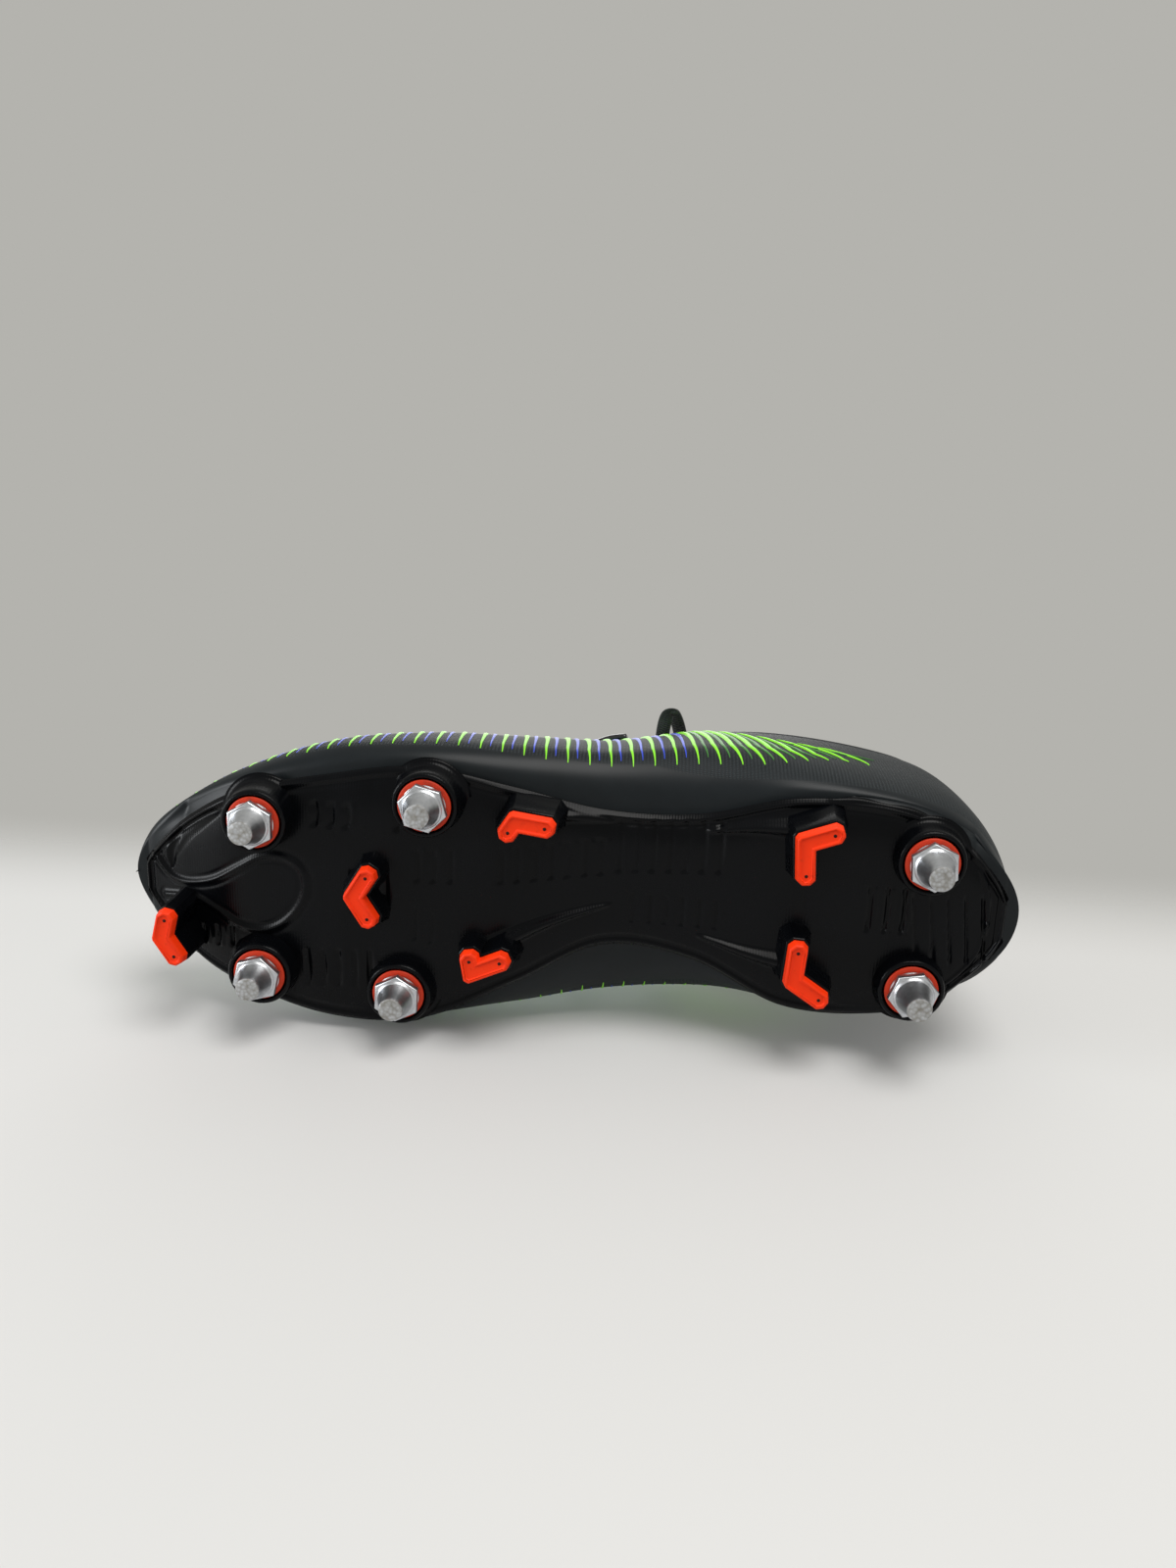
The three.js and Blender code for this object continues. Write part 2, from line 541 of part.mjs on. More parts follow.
const WINDOW_STEPS = 20;
function upperShell() {
  const window = footLayer(LASTING_MARGIN, PLATE_THICK - 1, WALL + 3, LASTING_WINDOW, WINDOW_STEPS);
  const shell = solid(footBody(0, 0)).subtract(solid(footBody(WALL, WALL)));
  const cutters = [
    solid(toplineCutter()), solid(prism(throatOutline(), UPPER_HALF, ABOVE_ALL)), solid(window),
    ...eyelets(),
  ];
  return geometryOf(cutters.reduce((body, cutter) => body.subtract(cutter), shell));
}

// Layer of a thickness that lines the upper's inside, kept within a box.
const FLOOR_OVERCUT = 2;
function liner(thick, keep) {
  const outside = solid(footBody(INNER, INNER));
  const inside = solid(footBody(INNER + thick, INNER - FLOOR_OVERCUT));
  return outside.subtract(inside).intersect(keep);
}

const COUNTER_FROM = 0.45;   // front end of the heel counter
const COUNTER_TOP = 62;
const COUNTER_FOOT = 34;
const heelCounter = () => geometryOf(
  liner(STIFFENER, box(-WIDTH, WIDTH, yOf(COUNTER_FROM), LENGTH, COUNTER_FOOT, COUNTER_TOP)),
);

const PUFF_BACK = -0.7;      // back end of the toe puff
const PUFF_FOOT = 45;
const toePuff = () => geometryOf(
  liner(STIFFENER, box(-WIDTH, WIDTH, -LENGTH, yOf(PUFF_BACK), PUFF_FOOT, ABOVE_ALL)),
);

const LINING_FROM = 0.28;    // front end of the collar lining
const LINING_SEAM = 2;       // lining starts above the counter
const LINING_DROP = 1;       // lining ends below the topline
function collarLining() {
  const keep = box(-WIDTH, WIDTH, yOf(LINING_FROM), LENGTH, COUNTER_TOP + LINING_SEAM, ABOVE_ALL);
  return geometryOf(liner(LINING_THICK, keep).subtract(solid(toplineCutter(LINING_DROP))));
}

const TONGUE_BACK = 0.34;    // free end of the tongue
const TONGUE_FRONT = 12;     // tongue starts in front of the throat
const TONGUE_WINGS = 6;      // tongue reaches under each eyestay
const TONGUE_STEPS = 18;
function tongue() {
  const half = (y) => throatHalf(Math.min(y, yOf(THROAT_BACK))) + TONGUE_WINGS;
  return sheet(
    between(yOf(THROAT_FRONT) - TONGUE_FRONT, yOf(TONGUE_BACK), TONGUE_STEPS),
    (y) => ridgeX(y) - half(y), (y) => ridgeX(y) + half(y),
    (x, y) => skinZ(x, y, TONGUE_INSET + TONGUE_THICK), (x, y) => skinZ(x, y, TONGUE_INSET),
  );
}

const FACING_NEAR = 0.5;     // eyestay edges, out from the throat's edge
const FACING_FAR = 10.5;
const FACING_ENDS = 1;       // eyestay ends short of the throat's ends
const FACING_STEPS = 10;
const FACING_ACROSS = 4;
function eyestay(side) {
  const ys = between(yOf(THROAT_FRONT) + FACING_ENDS, yOf(THROAT_BACK) - FACING_ENDS, FACING_STEPS);
  const near = (y) => ridgeX(y) + side * (throatHalf(y) + FACING_NEAR);
  const far = (y) => ridgeX(y) + side * (throatHalf(y) + FACING_FAR);
  const plain = sheet(
    ys, side > 0 ? near : far, side > 0 ? far : near,
    (x, y) => skinZ(x, y, -GAP), (x, y) => skinZ(x, y, -GAP - FACING_THICK), FACING_ACROSS,
  );
  return geometryOf(eyelets().reduce((body, hole) => body.subtract(hole), solid(plain)));
}

// ---------------------------------------------------------------- lace
// Height of the lace's centre line: over the facing, under it, and at the crossings.
const LACE_OVER = -(FACING_THICK + 2 * GAP + LACE_R + LACE_SWING);
const LACE_CROSS = LACE_UNDER - 2 * LACE_R - GAP - LACE_SWING;
const LACE_LEAN = 0.6;       // how far the lace swings across its hole
const LACE_STEPS = 100;
function laceThroughEyelets() {
  const on = (x, y, inset) => vec(x, y, skinZ(x, y, inset));
  const edge = (row, side) => ridgeX(eyeletYs[row]) + side * throatHalf(eyeletYs[row]);
  // Through one eyelet from the top of the facing down, ending under the facing's edge.
  const down = (row, side) => {
    const y = eyeletYs[row];
    const x = eyeletX(y, side);
    return [
      on(edge(row, side) + side, y, LACE_OVER), on(x - side * LACE_LEAN, y, LACE_OVER),
      on(x + side * LACE_LEAN, y, (LACE_OVER + LACE_UNDER) / 2),
      on(x - side * LACE_LEAN, y, LACE_UNDER + LACE_SWING),
      on(edge(row, side) + side, y, LACE_UNDER + LACE_SWING),
    ];
  };
  const crossing = (row, inset) => {
    const y = (eyeletYs[row] + eyeletYs[row + 1]) / 2;
    return on(ridgeX(y), y, inset);
  };
  const points = [];
  const top = EYELETS - 1;
  for (let row = top; row >= 0; row -= 1) {
    const side = (top - row) % 2 ? -1 : 1;
    points.push(...down(row, side));
    if (row > 0) points.push(crossing(row - 1, LACE_CROSS));
  }
  const lastSide = top % 2 ? -1 : 1;
  const bar = eyeletYs[0];
  points.push(on(ridgeX(bar), bar, LACE_UNDER + LACE_SWING));
  for (let row = 0; row <= top; row += 1) {
    const side = row % 2 ? lastSide : -lastSide;
    points.push(...down(row, side).reverse());
    if (row < top) points.push(crossing(row, LACE_UNDER));
  }
  return cord(points, LACE_R, LACE_STEPS);
}

const KNOT = [3.5, 33, 99.2];
const KNOT_SIZE = [6, 4.5, 3.4];
// The tied bow: a knot, two free loops and two free ends with their aglets.
function knot() {
  return new THREE.SphereGeometry(1, 12, 6).scale(...KNOT_SIZE).translate(...KNOT);
}

const LOOP_LATERAL = [
  [9.8, 34, 101.2], [16, 36.5, 103.8], [25, 38, 103.2], [34, 38, 99.5], [42, 36.5, 93], [47.6, 34.5, 88.3],
  [48.6, 33, 86], [46, 31.8, 86.6], [40.5, 31, 91], [32.5, 30.6, 96.3], [24, 30.6, 99.8], [16, 31, 101.2],
  [9.9, 31.9, 100.4],
];
const LOOP_MEDIAL = [
  [-2.9, 34.3, 100.6], [-9, 37.5, 103.8], [-17, 40, 103.6], [-25, 41, 100.6], [-31.5, 39.5, 94.6],
  [-35.8, 36, 88.8], [-35.4, 32.6, 87.4], [-30.5, 30.4, 91.8], [-23, 30.2, 97.4], [-15.5, 30.6, 100.8],
  [-9, 31.3, 101.2], [-3, 32, 100],
];
const END_LATERAL = [
  [8.6, 29.6, 100.4], [11.5, 25.5, 101.8], [15, 18, 99.6], [18.5, 9.5, 94.8], [22, 2.5, 90.6],
  [26.8, -1.5, 86.8], [32, 1, 84.4], [36, 6.5, 82.6],
];
const END_MEDIAL = [
  [-1.4, 29.6, 100.4], [-5, 25, 102], [-11.5, 19, 100.4], [-18.5, 13.5, 96], [-25.6, 9, 91],
  [-31.6, 6, 85.4],
  [-36.8, 4.6, 79],
];
const AGLET_LATERAL = [[36.2, 6.85, 82.5], [38.8, 12.2, 80.6], [40.2, 18, 78.8]];
const AGLET_MEDIAL = [[-37.1, 4.5, 78.6], [-40.4, 3.8, 73], [-42.4, 3.2, 66.8]];
const laceCord = (points, radius) => (
  cord(points.map((p) => vec(...p)), radius, 2 * (points.length - 1))
);

// ---------------------------------------------------------------- assembly
const nylon = material('#0b0d12', 0.25);
const capPlastic = material('#f4491a', 0.45);
const ringPlastic = material('#c63a22', 0.5);
const aluminium = material('#c9ccd0', 0.35, 1);
const steel = material('#8f9296', 0.4, 1);
const upperLook = material('#2b3033', 0.6);
const fabric = material('#17191c', 0.9);
const board = material('#3a3530', 0.9);
const laceLook = material('#0d0d0e', 0.85);

addPiece('outsole_plate', soleplate(), nylon);
for (const chevron of CHEVRONS) addPiece(`chevron_stud_${chevron.name}`, chevronCap(chevron), capPlastic);
for (const stud of STUDS) {
  addPiece(`stud_${stud.name}`, studBody(stud), aluminium);
  addPiece(`stud_post_${stud.name}`, postBody(stud), steel);
  addPiece(`seat_ring_${stud.name}`, ringBody(stud), ringPlastic);
  addPiece(`threaded_insert_${stud.name}`, insertBody(stud), steel);
}
for (const [name, rise, thick, look] of [
  ['insole_board', BOARD_RISE, BOARD_THICK, board], ['sockliner', SOCK_RISE, SOCK_THICK, fabric],
]) addPiece(name, footLayer(BOARD_INSET, rise, thick, BED_ENDS, BED_STEPS, BED_ACROSS), look);
addPiece('upper_shell', upperShell(), upperLook);
addPiece('heel_counter', heelCounter(), board);
addPiece('toe_puff', toePuff(), board);
addPiece('collar_lining', collarLining(), fabric);
addPiece('tongue', tongue(), fabric);
addPiece('eyestay_lateral', eyestay(1), upperLook);
addPiece('eyestay_medial', eyestay(-1), upperLook);
addPiece('lace_through_eyelets', laceThroughEyelets(), laceLook);
addPiece('lace_knot', knot(), laceLook);
addPiece('lace_loop_lateral', laceCord(LOOP_LATERAL, LACE_R), laceLook);
addPiece('lace_loop_medial', laceCord(LOOP_MEDIAL, LACE_R), laceLook);
addPiece('lace_end_lateral', laceCord(END_LATERAL, LACE_R), laceLook);
addPiece('lace_end_medial', laceCord(END_MEDIAL, LACE_R), laceLook);
addPiece('aglet_lateral', laceCord(AGLET_LATERAL, AGLET_R), fabric);
addPiece('aglet_medial', laceCord(AGLET_MEDIAL, AGLET_R), fabric);

export default boot;
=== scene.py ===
import math

import bmesh
import bpy
from mathutils import Matrix, Vector


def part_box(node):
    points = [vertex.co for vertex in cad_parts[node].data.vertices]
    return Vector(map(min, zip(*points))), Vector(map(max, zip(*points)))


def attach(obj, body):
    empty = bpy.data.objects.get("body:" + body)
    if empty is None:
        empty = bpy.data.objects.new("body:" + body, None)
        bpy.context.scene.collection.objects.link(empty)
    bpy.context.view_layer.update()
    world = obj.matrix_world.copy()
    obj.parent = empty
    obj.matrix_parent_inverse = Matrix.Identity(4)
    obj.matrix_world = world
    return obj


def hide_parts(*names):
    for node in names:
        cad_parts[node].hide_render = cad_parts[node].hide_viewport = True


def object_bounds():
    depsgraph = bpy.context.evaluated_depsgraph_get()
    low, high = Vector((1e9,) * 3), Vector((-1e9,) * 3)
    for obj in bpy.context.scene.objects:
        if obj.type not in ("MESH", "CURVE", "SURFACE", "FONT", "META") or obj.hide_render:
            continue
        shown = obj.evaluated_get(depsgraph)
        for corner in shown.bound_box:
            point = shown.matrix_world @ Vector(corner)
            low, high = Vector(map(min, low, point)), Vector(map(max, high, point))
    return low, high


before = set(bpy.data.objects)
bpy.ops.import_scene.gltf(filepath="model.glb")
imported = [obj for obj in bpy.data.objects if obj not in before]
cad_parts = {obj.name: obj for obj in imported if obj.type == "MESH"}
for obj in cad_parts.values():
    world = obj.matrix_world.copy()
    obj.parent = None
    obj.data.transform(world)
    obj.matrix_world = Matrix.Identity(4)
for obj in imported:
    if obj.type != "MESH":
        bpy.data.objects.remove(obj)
cad_low, cad_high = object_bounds()
MM = 0.001


# ---------------------------------------------------------------- camera
# The viewer looks along the studs at the sole, from a little to the outer side.
camera_data = bpy.data.cameras.new("camera")
camera_data.lens = 24
camera_data.sensor_width = 32
camera = bpy.data.objects.new("camera", camera_data)
bpy.context.scene.collection.objects.link(camera)
bpy.context.scene.camera = camera
CAMERA_RIGHT = Vector((0.03203, 0.99689, 0.07197))
CAMERA_UP = Vector((0.9610, -0.0505, 0.2719))
CAMERA_AHEAD = Vector((-0.27469, -0.06046, 0.95963))
camera.matrix_world = Matrix.Translation(Vector((139.24, 30.58, -330.4)) * MM) @ Matrix(
    (CAMERA_RIGHT, CAMERA_UP, -CAMERA_AHEAD)
).transposed().to_4x4()


# ---------------------------------------------------------------- woven lace, drawn in a bow
# A flat woven polyester tape, 5 mm wide. The bow's two loops and two ends lie on the
# instep on either side of the knot; each end is finished with a clear film aglet.
LACE_WIDE = 5.0
LACE_THICK = 1.1
LOOP_LATERAL = [
    (9.8, 34, 101.2), (16, 36.5, 103.8), (25, 38, 103.2), (34, 38, 99.5), (42, 36.5, 93),
    (47.6, 34.5, 88.3), (48.6, 33, 86), (46, 31.8, 86.6), (40.5, 31, 91), (32.5, 30.6, 96.3),
    (24, 30.6, 99.8), (16, 31, 101.2), (9.9, 31.9, 100.4),
]
LOOP_MEDIAL = [
    (-2.9, 34.3, 100.6), (-9, 37.5, 103.8), (-17, 40, 103.6), (-25, 41, 100.6),
    (-31.5, 39.5, 94.6), (-35.8, 36, 88.8), (-35.4, 32.6, 87.4), (-30.5, 30.4, 91.8),
    (-23, 30.2, 97.4), (-15.5, 30.6, 100.8), (-9, 31.3, 101.2), (-3, 32, 100),
]
END_LATERAL = [
    (8.6, 29.6, 100.4), (11.5, 25.5, 101.8), (15, 18, 99.6), (18.5, 9.5, 94.8),
    (22, 2.5, 90.6), (26.8, -1.5, 86.8), (32, 1, 84.4), (36, 6.5, 82.6),
]
END_MEDIAL = [
    (-1.4, 29.6, 100.4), (-5, 25, 102), (-11.5, 19, 100.4), (-18.5, 13.5, 96),
    (-25.6, 9, 91), (-31.6, 6, 85.4), (-36.8, 4.6, 79),
]
AGLET_LATERAL = [(36.2, 6.85, 82.5), (38.8, 12.2, 80.6), (40.2, 18, 78.8)]
AGLET_MEDIAL = [(-37.1, 4.5, 78.6), (-40.4, 3.8, 73), (-42.4, 3.2, 66.8)]
INSTEP_AXIS = Vector((4, 0, 40))   # the tape's flat side faces away from this line


def linear(hex_colour):
    def channel(pair):
        value = int(pair, 16) / 255
        return value / 12.92 if value <= 0.04045 else ((value + 0.055) / 1.055) ** 2.4
    return tuple(channel(hex_colour[k:k + 2]) for k in (1, 3, 5)) + (1.0,)


def add(tree, kind, links=None, **settings):
    node = tree.nodes.new(kind)
    for key, value in settings.items():
        setattr(node, key, value)
    for socket, source in (links or {}).items():
        if isinstance(source, bpy.types.NodeSocket):
            tree.links.new(source, node.inputs[socket])
        else:
            node.inputs[socket].default_value = source
    return node


def new_material(name, **sockets):
    look = bpy.data.materials.new(name)
    look.use_nodes = True
    tree = look.node_tree
    shader = tree.nodes["Principled BSDF"]
    for socket, value in sockets.items():
        shader.inputs[socket.replace("_", " ")].default_value = value
    return look, tree, shader


def mixed(tree, factor, low, high):
    mix = add(tree, "ShaderNodeMix", {0: factor, 6: low, 7: high}, data_type="RGBA")
    return mix.outputs[2]


def bumped(tree, shader, height, strength, millimetres):
    bump = add(tree, "ShaderNodeBump", {"Height": height, "Strength": strength,
                                        "Distance": millimetres * MM})
    tree.links.new(bump.outputs[0], shader.inputs["Normal"])
    return bump


# Woven polyester: a diagonal braid, dull black. The thread crests are painted lighter than the hollows,
# a painted sheen where each thread catches light.
def woven_polyester():
    look, tree, shader = new_material("woven_polyester", Roughness=0.82, Sheen_Weight=0.25)
    place = add(tree, "ShaderNodeUVMap", uv_map="run")
    turned_one = add(tree, "ShaderNodeMapping", {"Vector": place.outputs[0],
                                                 "Rotation": (0, 0, math.radians(45))})
    turned_two = add(tree, "ShaderNodeMapping", {"Vector": place.outputs[0],
                                                 "Rotation": (0, 0, math.radians(-45))})
    thread = 0.9                    # one thread in millimetres, as UVs hold millimetres
    waves = [
        add(tree, "ShaderNodeTexWave", {"Vector": turn.outputs[0], "Scale": 0.314 / thread})
        for turn in (turned_one, turned_two)
    ]
    braid_and_sheen = add(tree, "ShaderNodeMath", {0: waves[0].outputs["Fac"], 1: waves[1].outputs["Fac"]},
                operation="MAXIMUM")
    # Lighter colour on the braid's raised crests: a painted sheen.
    colour = mixed(tree, braid_and_sheen.outputs[0], linear("#060607"), linear("#1d1e20"))
    tree.links.new(colour, shader.inputs["Base Color"])
    bumped(tree, shader, braid_and_sheen.outputs[0], 0.8, 0.2)
    return look


def to_scene(name, bm, *looks):
    mesh = bpy.data.meshes.new(name)
    bm.to_mesh(mesh)
    bm.free()
    mesh.shade_smooth()
    piece = bpy.data.objects.new(name, mesh)
    bpy.context.scene.collection.objects.link(piece)
    for look in looks:
        mesh.materials.append(look)
    return piece


# A grid wrapped into shape: place(u, v) gives each point in millimetres, for u and v from
# 0 to 1, and run(u, v) gives its texture place in millimetres.
def wrapped(columns, rows, place, run=None, closed=False):
    bm = bmesh.new()
    bmesh.ops.create_grid(bm, x_segments=columns, y_segments=rows, size=0.5)
    layer = bm.loops.layers.uv.new("run")
    for vert in bm.verts:
        vert.co.z = 0
    for face in bm.faces:
        for loop in face.loops:
            u, v = loop.vert.co.x + 0.5, loop.vert.co.y + 0.5
            loop[layer].uv = run(u, v) if run else (u, v)
    for vert in bm.verts:
        vert.co = Vector(place(vert.co.x + 0.5, vert.co.y + 0.5)) * MM
    if closed:
        bmesh.ops.remove_doubles(bm, verts=bm.verts, dist=1e-6)
        bmesh.ops.holes_fill(bm, edges=bm.edges, sides=0)
        bmesh.ops.recalc_face_normals(bm, faces=bm.faces)
    return bm


# Smooth line through listed points, given as a list of closer points.
def smooth_line(points, per_step=6):
    knots = [Vector(p) for p in points]
    line = []
    for i in range(len(knots) - 1):
        before, a = knots[max(i - 1, 0)], knots[i]
        b, after = knots[i + 1], knots[min(i + 2, len(knots) - 1)]
        for k in range(per_step):
            t = k / per_step
            line.append(0.5 * (2 * a + (b - before) * t + (2 * before - 5 * a + 4 * b - after) * t ** 2
                               + (3 * a - before - 3 * b + after) * t ** 3))
    return line + [knots[-1]]


def line_length(line):
    return sum((b - a).length for a, b in zip(line, line[1:]))


# Tape of oval section along a line. facing gives the side that its flat face turns to.
def tape(line, wide, thick, facing=None, around=12):
    total = line_length(line)

    def place(u, v):
        at = u * (len(line) - 1)
        i = min(int(at), len(line) - 2)
        centre = line[i].lerp(line[i + 1], at - i)
        along = (line[min(i + 1, len(line) - 1)] - line[max(i - 1, 0)]).normalized()
        out = facing(centre) if facing else centre - Vector((INSTEP_AXIS.x, centre.y, INSTEP_AXIS.z))
        side = along.cross(out).normalized()
        out = side.cross(along).normalized()
        angle = 2 * math.pi * v
        squared = 0.45
        across = math.copysign(abs(math.cos(angle)) ** squared, math.cos(angle))
        return centre + side * (wide / 2 * across) + out * (thick / 2 * math.sin(angle))

    return wrapped(len(line), around, place, lambda u, v: (u * total, v * 2 * wide), closed=True)


lace_weave = woven_polyester()


def free_lace(name, points):
    line = smooth_line(points)
    piece = to_scene(name, tape(line, LACE_WIDE, LACE_THICK), lace_weave)
    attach(piece, "boot")
    route = [tuple(p * MM) for p in line]
    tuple(route[0])
    round(line_length(line) * MM, 3)
    return piece


# Aglet film: cellulose acetate heat-shrunk over the lace end, clear and shiny on black.
def aglet_film():
    look, tree, shader = new_material("aglet_film", Roughness=0.18, Coat_Weight=0.5)
    grain = add(tree, "ShaderNodeTexNoise", {"Scale": 900.0})
    colour = mixed(tree, grain.outputs["Fac"], linear("#08080a"), linear("#1a1b1e"))
    tree.links.new(colour, shader.inputs["Base Color"])
    bumped(tree, shader, grain.outputs["Fac"], 0.2, 0.05)
    return look


film = aglet_film()
for side, points in (("lateral", AGLET_LATERAL), ("medial", AGLET_MEDIAL)):
    aglet = to_scene(f"aglet_sleeve_{side}", tape(smooth_line(points), 2.9, 2.2), film)
    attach(aglet, "boot")
    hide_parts(f"aglet_{side}")
    end = free_lace(f"lace_end_tape_{side}", END_LATERAL if side == "lateral" else END_MEDIAL)
    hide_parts(f"lace_end_{side}")
    loop = free_lace(f"lace_bow_{side}", LOOP_LATERAL if side == "lateral" else LOOP_MEDIAL)
    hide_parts(f"lace_loop_{side}")


# ---------------------------------------------------------------- shape of the foot
# Upper, sole and lining follow one last. Each row is a cross-section from toe to heel:
# place along half the length, plate edge and widest part (lateral, medial), underside of
# the plate, height of the widest part, ridge height, and how far the ridge lies outwards.
HALF_LENGTH = 145.5
LAST = [
    (-1.000, (-4, -4), (-4, -4), 33, 39, 43, -4),
    (-0.958, (8, -17), (11.5, -21), 30.5, 38, 49, -4),
    (-0.868, (19.5, -31), (22.5, -33.5), 26, 36, 54, -4),
    (-0.730, (30.5, -39), (34, -41), 20.5, 33, 58, -4),
    (-0.520, (38, -46), (44.5, -47.2), 17.3, 32, 63, -4),
    (-0.310, (42, -44.5), (47.5, -47.1), 17, 34, 70, -4),
    (-0.100, (36, -31.5), (46, -44), 20, 38, 80, -2),
    (0.100, (28.8, -18), (44, -40), 24.5, 43, 92, 1),
    (0.310, (29, -21), (46.5, -38), 24.2, 48, 104, 4),
    (0.520, (37, -33.5), (45.5, -36), 20, 48, 112, 4),
    (0.730, (36.5, -34), (40.5, -35.5), 19, 48, 116, 3),
    (0.868, (29, -28), (34, -31), 19, 48, 118, 2),
    (0.958, (16.5, -15), (21.5, -18), 19.8, 48, 118, 1.5),
    (1.000, (1.5, 1.5), (1.5, 1.5), 20.5, 48, 116, 1.5),
]
PLATE_THICK = 2.4
FLOOR_GAP = 0.7
PLATE_INSET = 4.5
EDGE_CURL = 3
CURL_REACH = 22
SHOULDER = 0.72
HEEL_LEAN = 10
COLLAR_TOP = 104
WALKS = [math.acos(-row[0]) / math.pi for row in LAST]
FLAT_LAST = [(e[0], e[1], b[0], b[1], sole, belly, top, ridge)
             for _, e, b, sole, belly, top, ridge in LAST]


def clamp(value, low=0.0, high=1.0):
    return min(max(value, low), high)


def ease(value, low, high):
    t = clamp((value - low) / (high - low))
    return t * t * (3 - 2 * t)


# Widths and heights of the last at a walk from 0 at the toe to 1 at the heel.
section_memory = {}


def section(walk):
    key = round(walk, 6)
    if key not in section_memory:
        i = 0
        while i < len(WALKS) - 2 and walk > WALKS[i + 1]:
            i += 1
        j = [clamp(k, 0, len(WALKS) - 1) for k in (i - 1, i, i + 1, i + 2)]
        span = WALKS[j[2]] - WALKS[j[1]]
        t = (walk - WALKS[j[1]]) / span
        row = []
        for before, a, b, after in zip(*(FLAT_LAST[k] for k in j)):
            lean_a = (b - before) / max(WALKS[j[2]] - WALKS[j[0]], 1e-6) * span
            lean_b = (after - a) / max(WALKS[j[3]] - WALKS[j[1]], 1e-6) * span
            row.append((2 * t ** 3 - 3 * t ** 2 + 1) * a + (t ** 3 - 2 * t ** 2 + t) * lean_a
                       + (3 * t ** 2 - 2 * t ** 3) * b + (t ** 3 - t ** 2) * lean_b)
        section_memory[key] = row
    return section_memory[key]


def walk_at(y, inset=0.0):
    return math.acos(clamp(-y / (HALF_LENGTH - inset), -1, 1)) / math.pi


def y_at(walk, inset=0.0):
    return -(HALF_LENGTH - inset) * math.cos(math.pi * walk)


def plate_z(x, y):
    edge_out, edge_in, _, _, sole, *_ = section(walk_at(y, PLATE_INSET))
    half = max((edge_out - edge_in) / 2, CURL_REACH)
    across = min(abs(x - (edge_out + edge_in) / 2) / half, 1.15)
    return sole + EDGE_CURL * across ** 4


# A point on the upper: across is 1 at the lateral feather edge, 0 on the ridge and -1 at
# the medial feather edge. inset moves it inwards.
FLANK = 0.28                       # share of each side below the widest part


def upper_point(walk, across, inset=0.0):
    walk = clamp(walk)
    edge_out, edge_in, bulge_out, bulge_in, _, belly, top, ridge = section(walk)
    y = y_at(walk, inset)
    shrink = inset * math.sin(math.pi * walk) ** 0.5
    sign = 1 if across >= 0 else -1
    edge = (edge_out if sign > 0 else edge_in) - sign * shrink
    bulge = (bulge_out if sign > 0 else bulge_in) - sign * shrink
    top -= inset
    foot = plate_z(edge, y) + PLATE_THICK + FLOOR_GAP + inset
    up = 1 - abs(across)
    if up < FLANK:
        angle = up / FLANK * math.pi / 2
        x = edge + (bulge - edge) * math.sin(angle)
        z = foot + (belly - foot) * (1 - math.cos(angle))
    else:
        angle = (up - FLANK) / (1 - FLANK) * math.pi / 2
        x = ridge + (bulge - ridge) * max(math.cos(angle), 0) ** SHOULDER
        z = belly + (top - belly) * math.sin(angle) ** SHOULDER
    back = ease(walk, 0.7, 1)
    lean = (max(z - belly, 0) / (COLLAR_TOP - belly)) ** 2 + (max(belly - z, 0) / belly) ** 2
    return Vector((x, y - back * HEEL_LEAN * lean, z))


def upper_normal(walk, across, inset=0.0):
    step = 0.004
    along = upper_point(walk + step, across, inset) - upper_point(walk - step, across, inset)
    up = upper_point(walk, across - step, inset) - upper_point(walk, across + step, inset)
    normal = up.cross(along)
    outward = upper_point(walk, across, inset) - Vector((0, y_at(walk) * 0.9, 45))
    normal.normalize()
    return normal if normal.dot(outward) > 0 else -normal


# ---------------------------------------------------------------- soleplate
# One glossy black nylon moulding, 2.4 mm thick and turned up at its edges. Its face has a
# raised rim, a curved line round the forefoot pad, flex slits, and spines off the studs.
LATERAL, MEDIAL = "lateral", "medial"
PAD_LINE = [
    (4, -136.5), (-2, -131), (-3.5, -124), (-1, -114), (5, -104), (9, -97), (10, -90), (7.5, -84),
    (2, -81.5), (-5, -83), (-12, -88.5), (-16, -96), (-15.5, -105), (-11.5, -113), (-8.5, -122),
    (-9.5, -133),
]
CRESCENT = [(0.5, -130), (7, -129), (13.5, -124.5), (18.5, -118), (22.5, -111)]
CUP_LINES = [
    [(42, 80), (42.6, 94), (41.5, 106), (37.5, 116)],
    [(37.5, 84), (38, 94), (37, 104), (33, 115), (27, 124), (18, 131), (8, 134.5), (0, 135)],
    [(-31, 92), (-30.5, 104), (-27, 116), (-20, 126), (-11, 132.5), (0, 135)],
]
SPINES = [
    [(28, -8), (27, 4), (25, 18)], [(-18, -22), (-9, -4), (-2, 18)],
    [(28, 74), (27, 62), (24, 46)], [(-17, 74), (-15, 60), (-11, 44)],
]
SLIT_PITCH = 5.3
SLITS = []
for first, count, left, right, drift in (
    (-45, 3, 4, 16, 0), (-18.5, 7, 4, 17, 0.5), (19, 7, 8, 26, 0.3), (-46, 2, -16, -4, -1),
    (-78, 3, 21, 29, 0), (-51, 3, 21, 32, 0.5), (-82, 5, -35, -21, 0.4), (-119, 3, -25, -17, 0.3),
    (98, 3, -5, 11, 0), (-66, 3, -8, 8, 0), (24, 6, -9, 2, 0),
):
    for n in range(count):
        SLITS.append((left + drift * n, right + drift * n, first + SLIT_PITCH * n))
HEEL_GROOVES = [113 + SLIT_PITCH * n for n in range(5)]


def near_line(x, y, line, reach):
    best, share = reach, 0.0
    for i in range(len(line) - 1):
        ax, ay, bx, by = *line[i][:2], *line[i + 1][:2]
        dx, dy = bx - ax, by - ay
        t = clamp(((x - ax) * dx + (y - ay) * dy) / (dx * dx + dy * dy + 1e-9))
        gap = math.hypot(x - ax - t * dx, y - ay - t * dy)
        if gap < best:
            best, share = gap, (i + t) / (len(line) - 1)
    return best, share


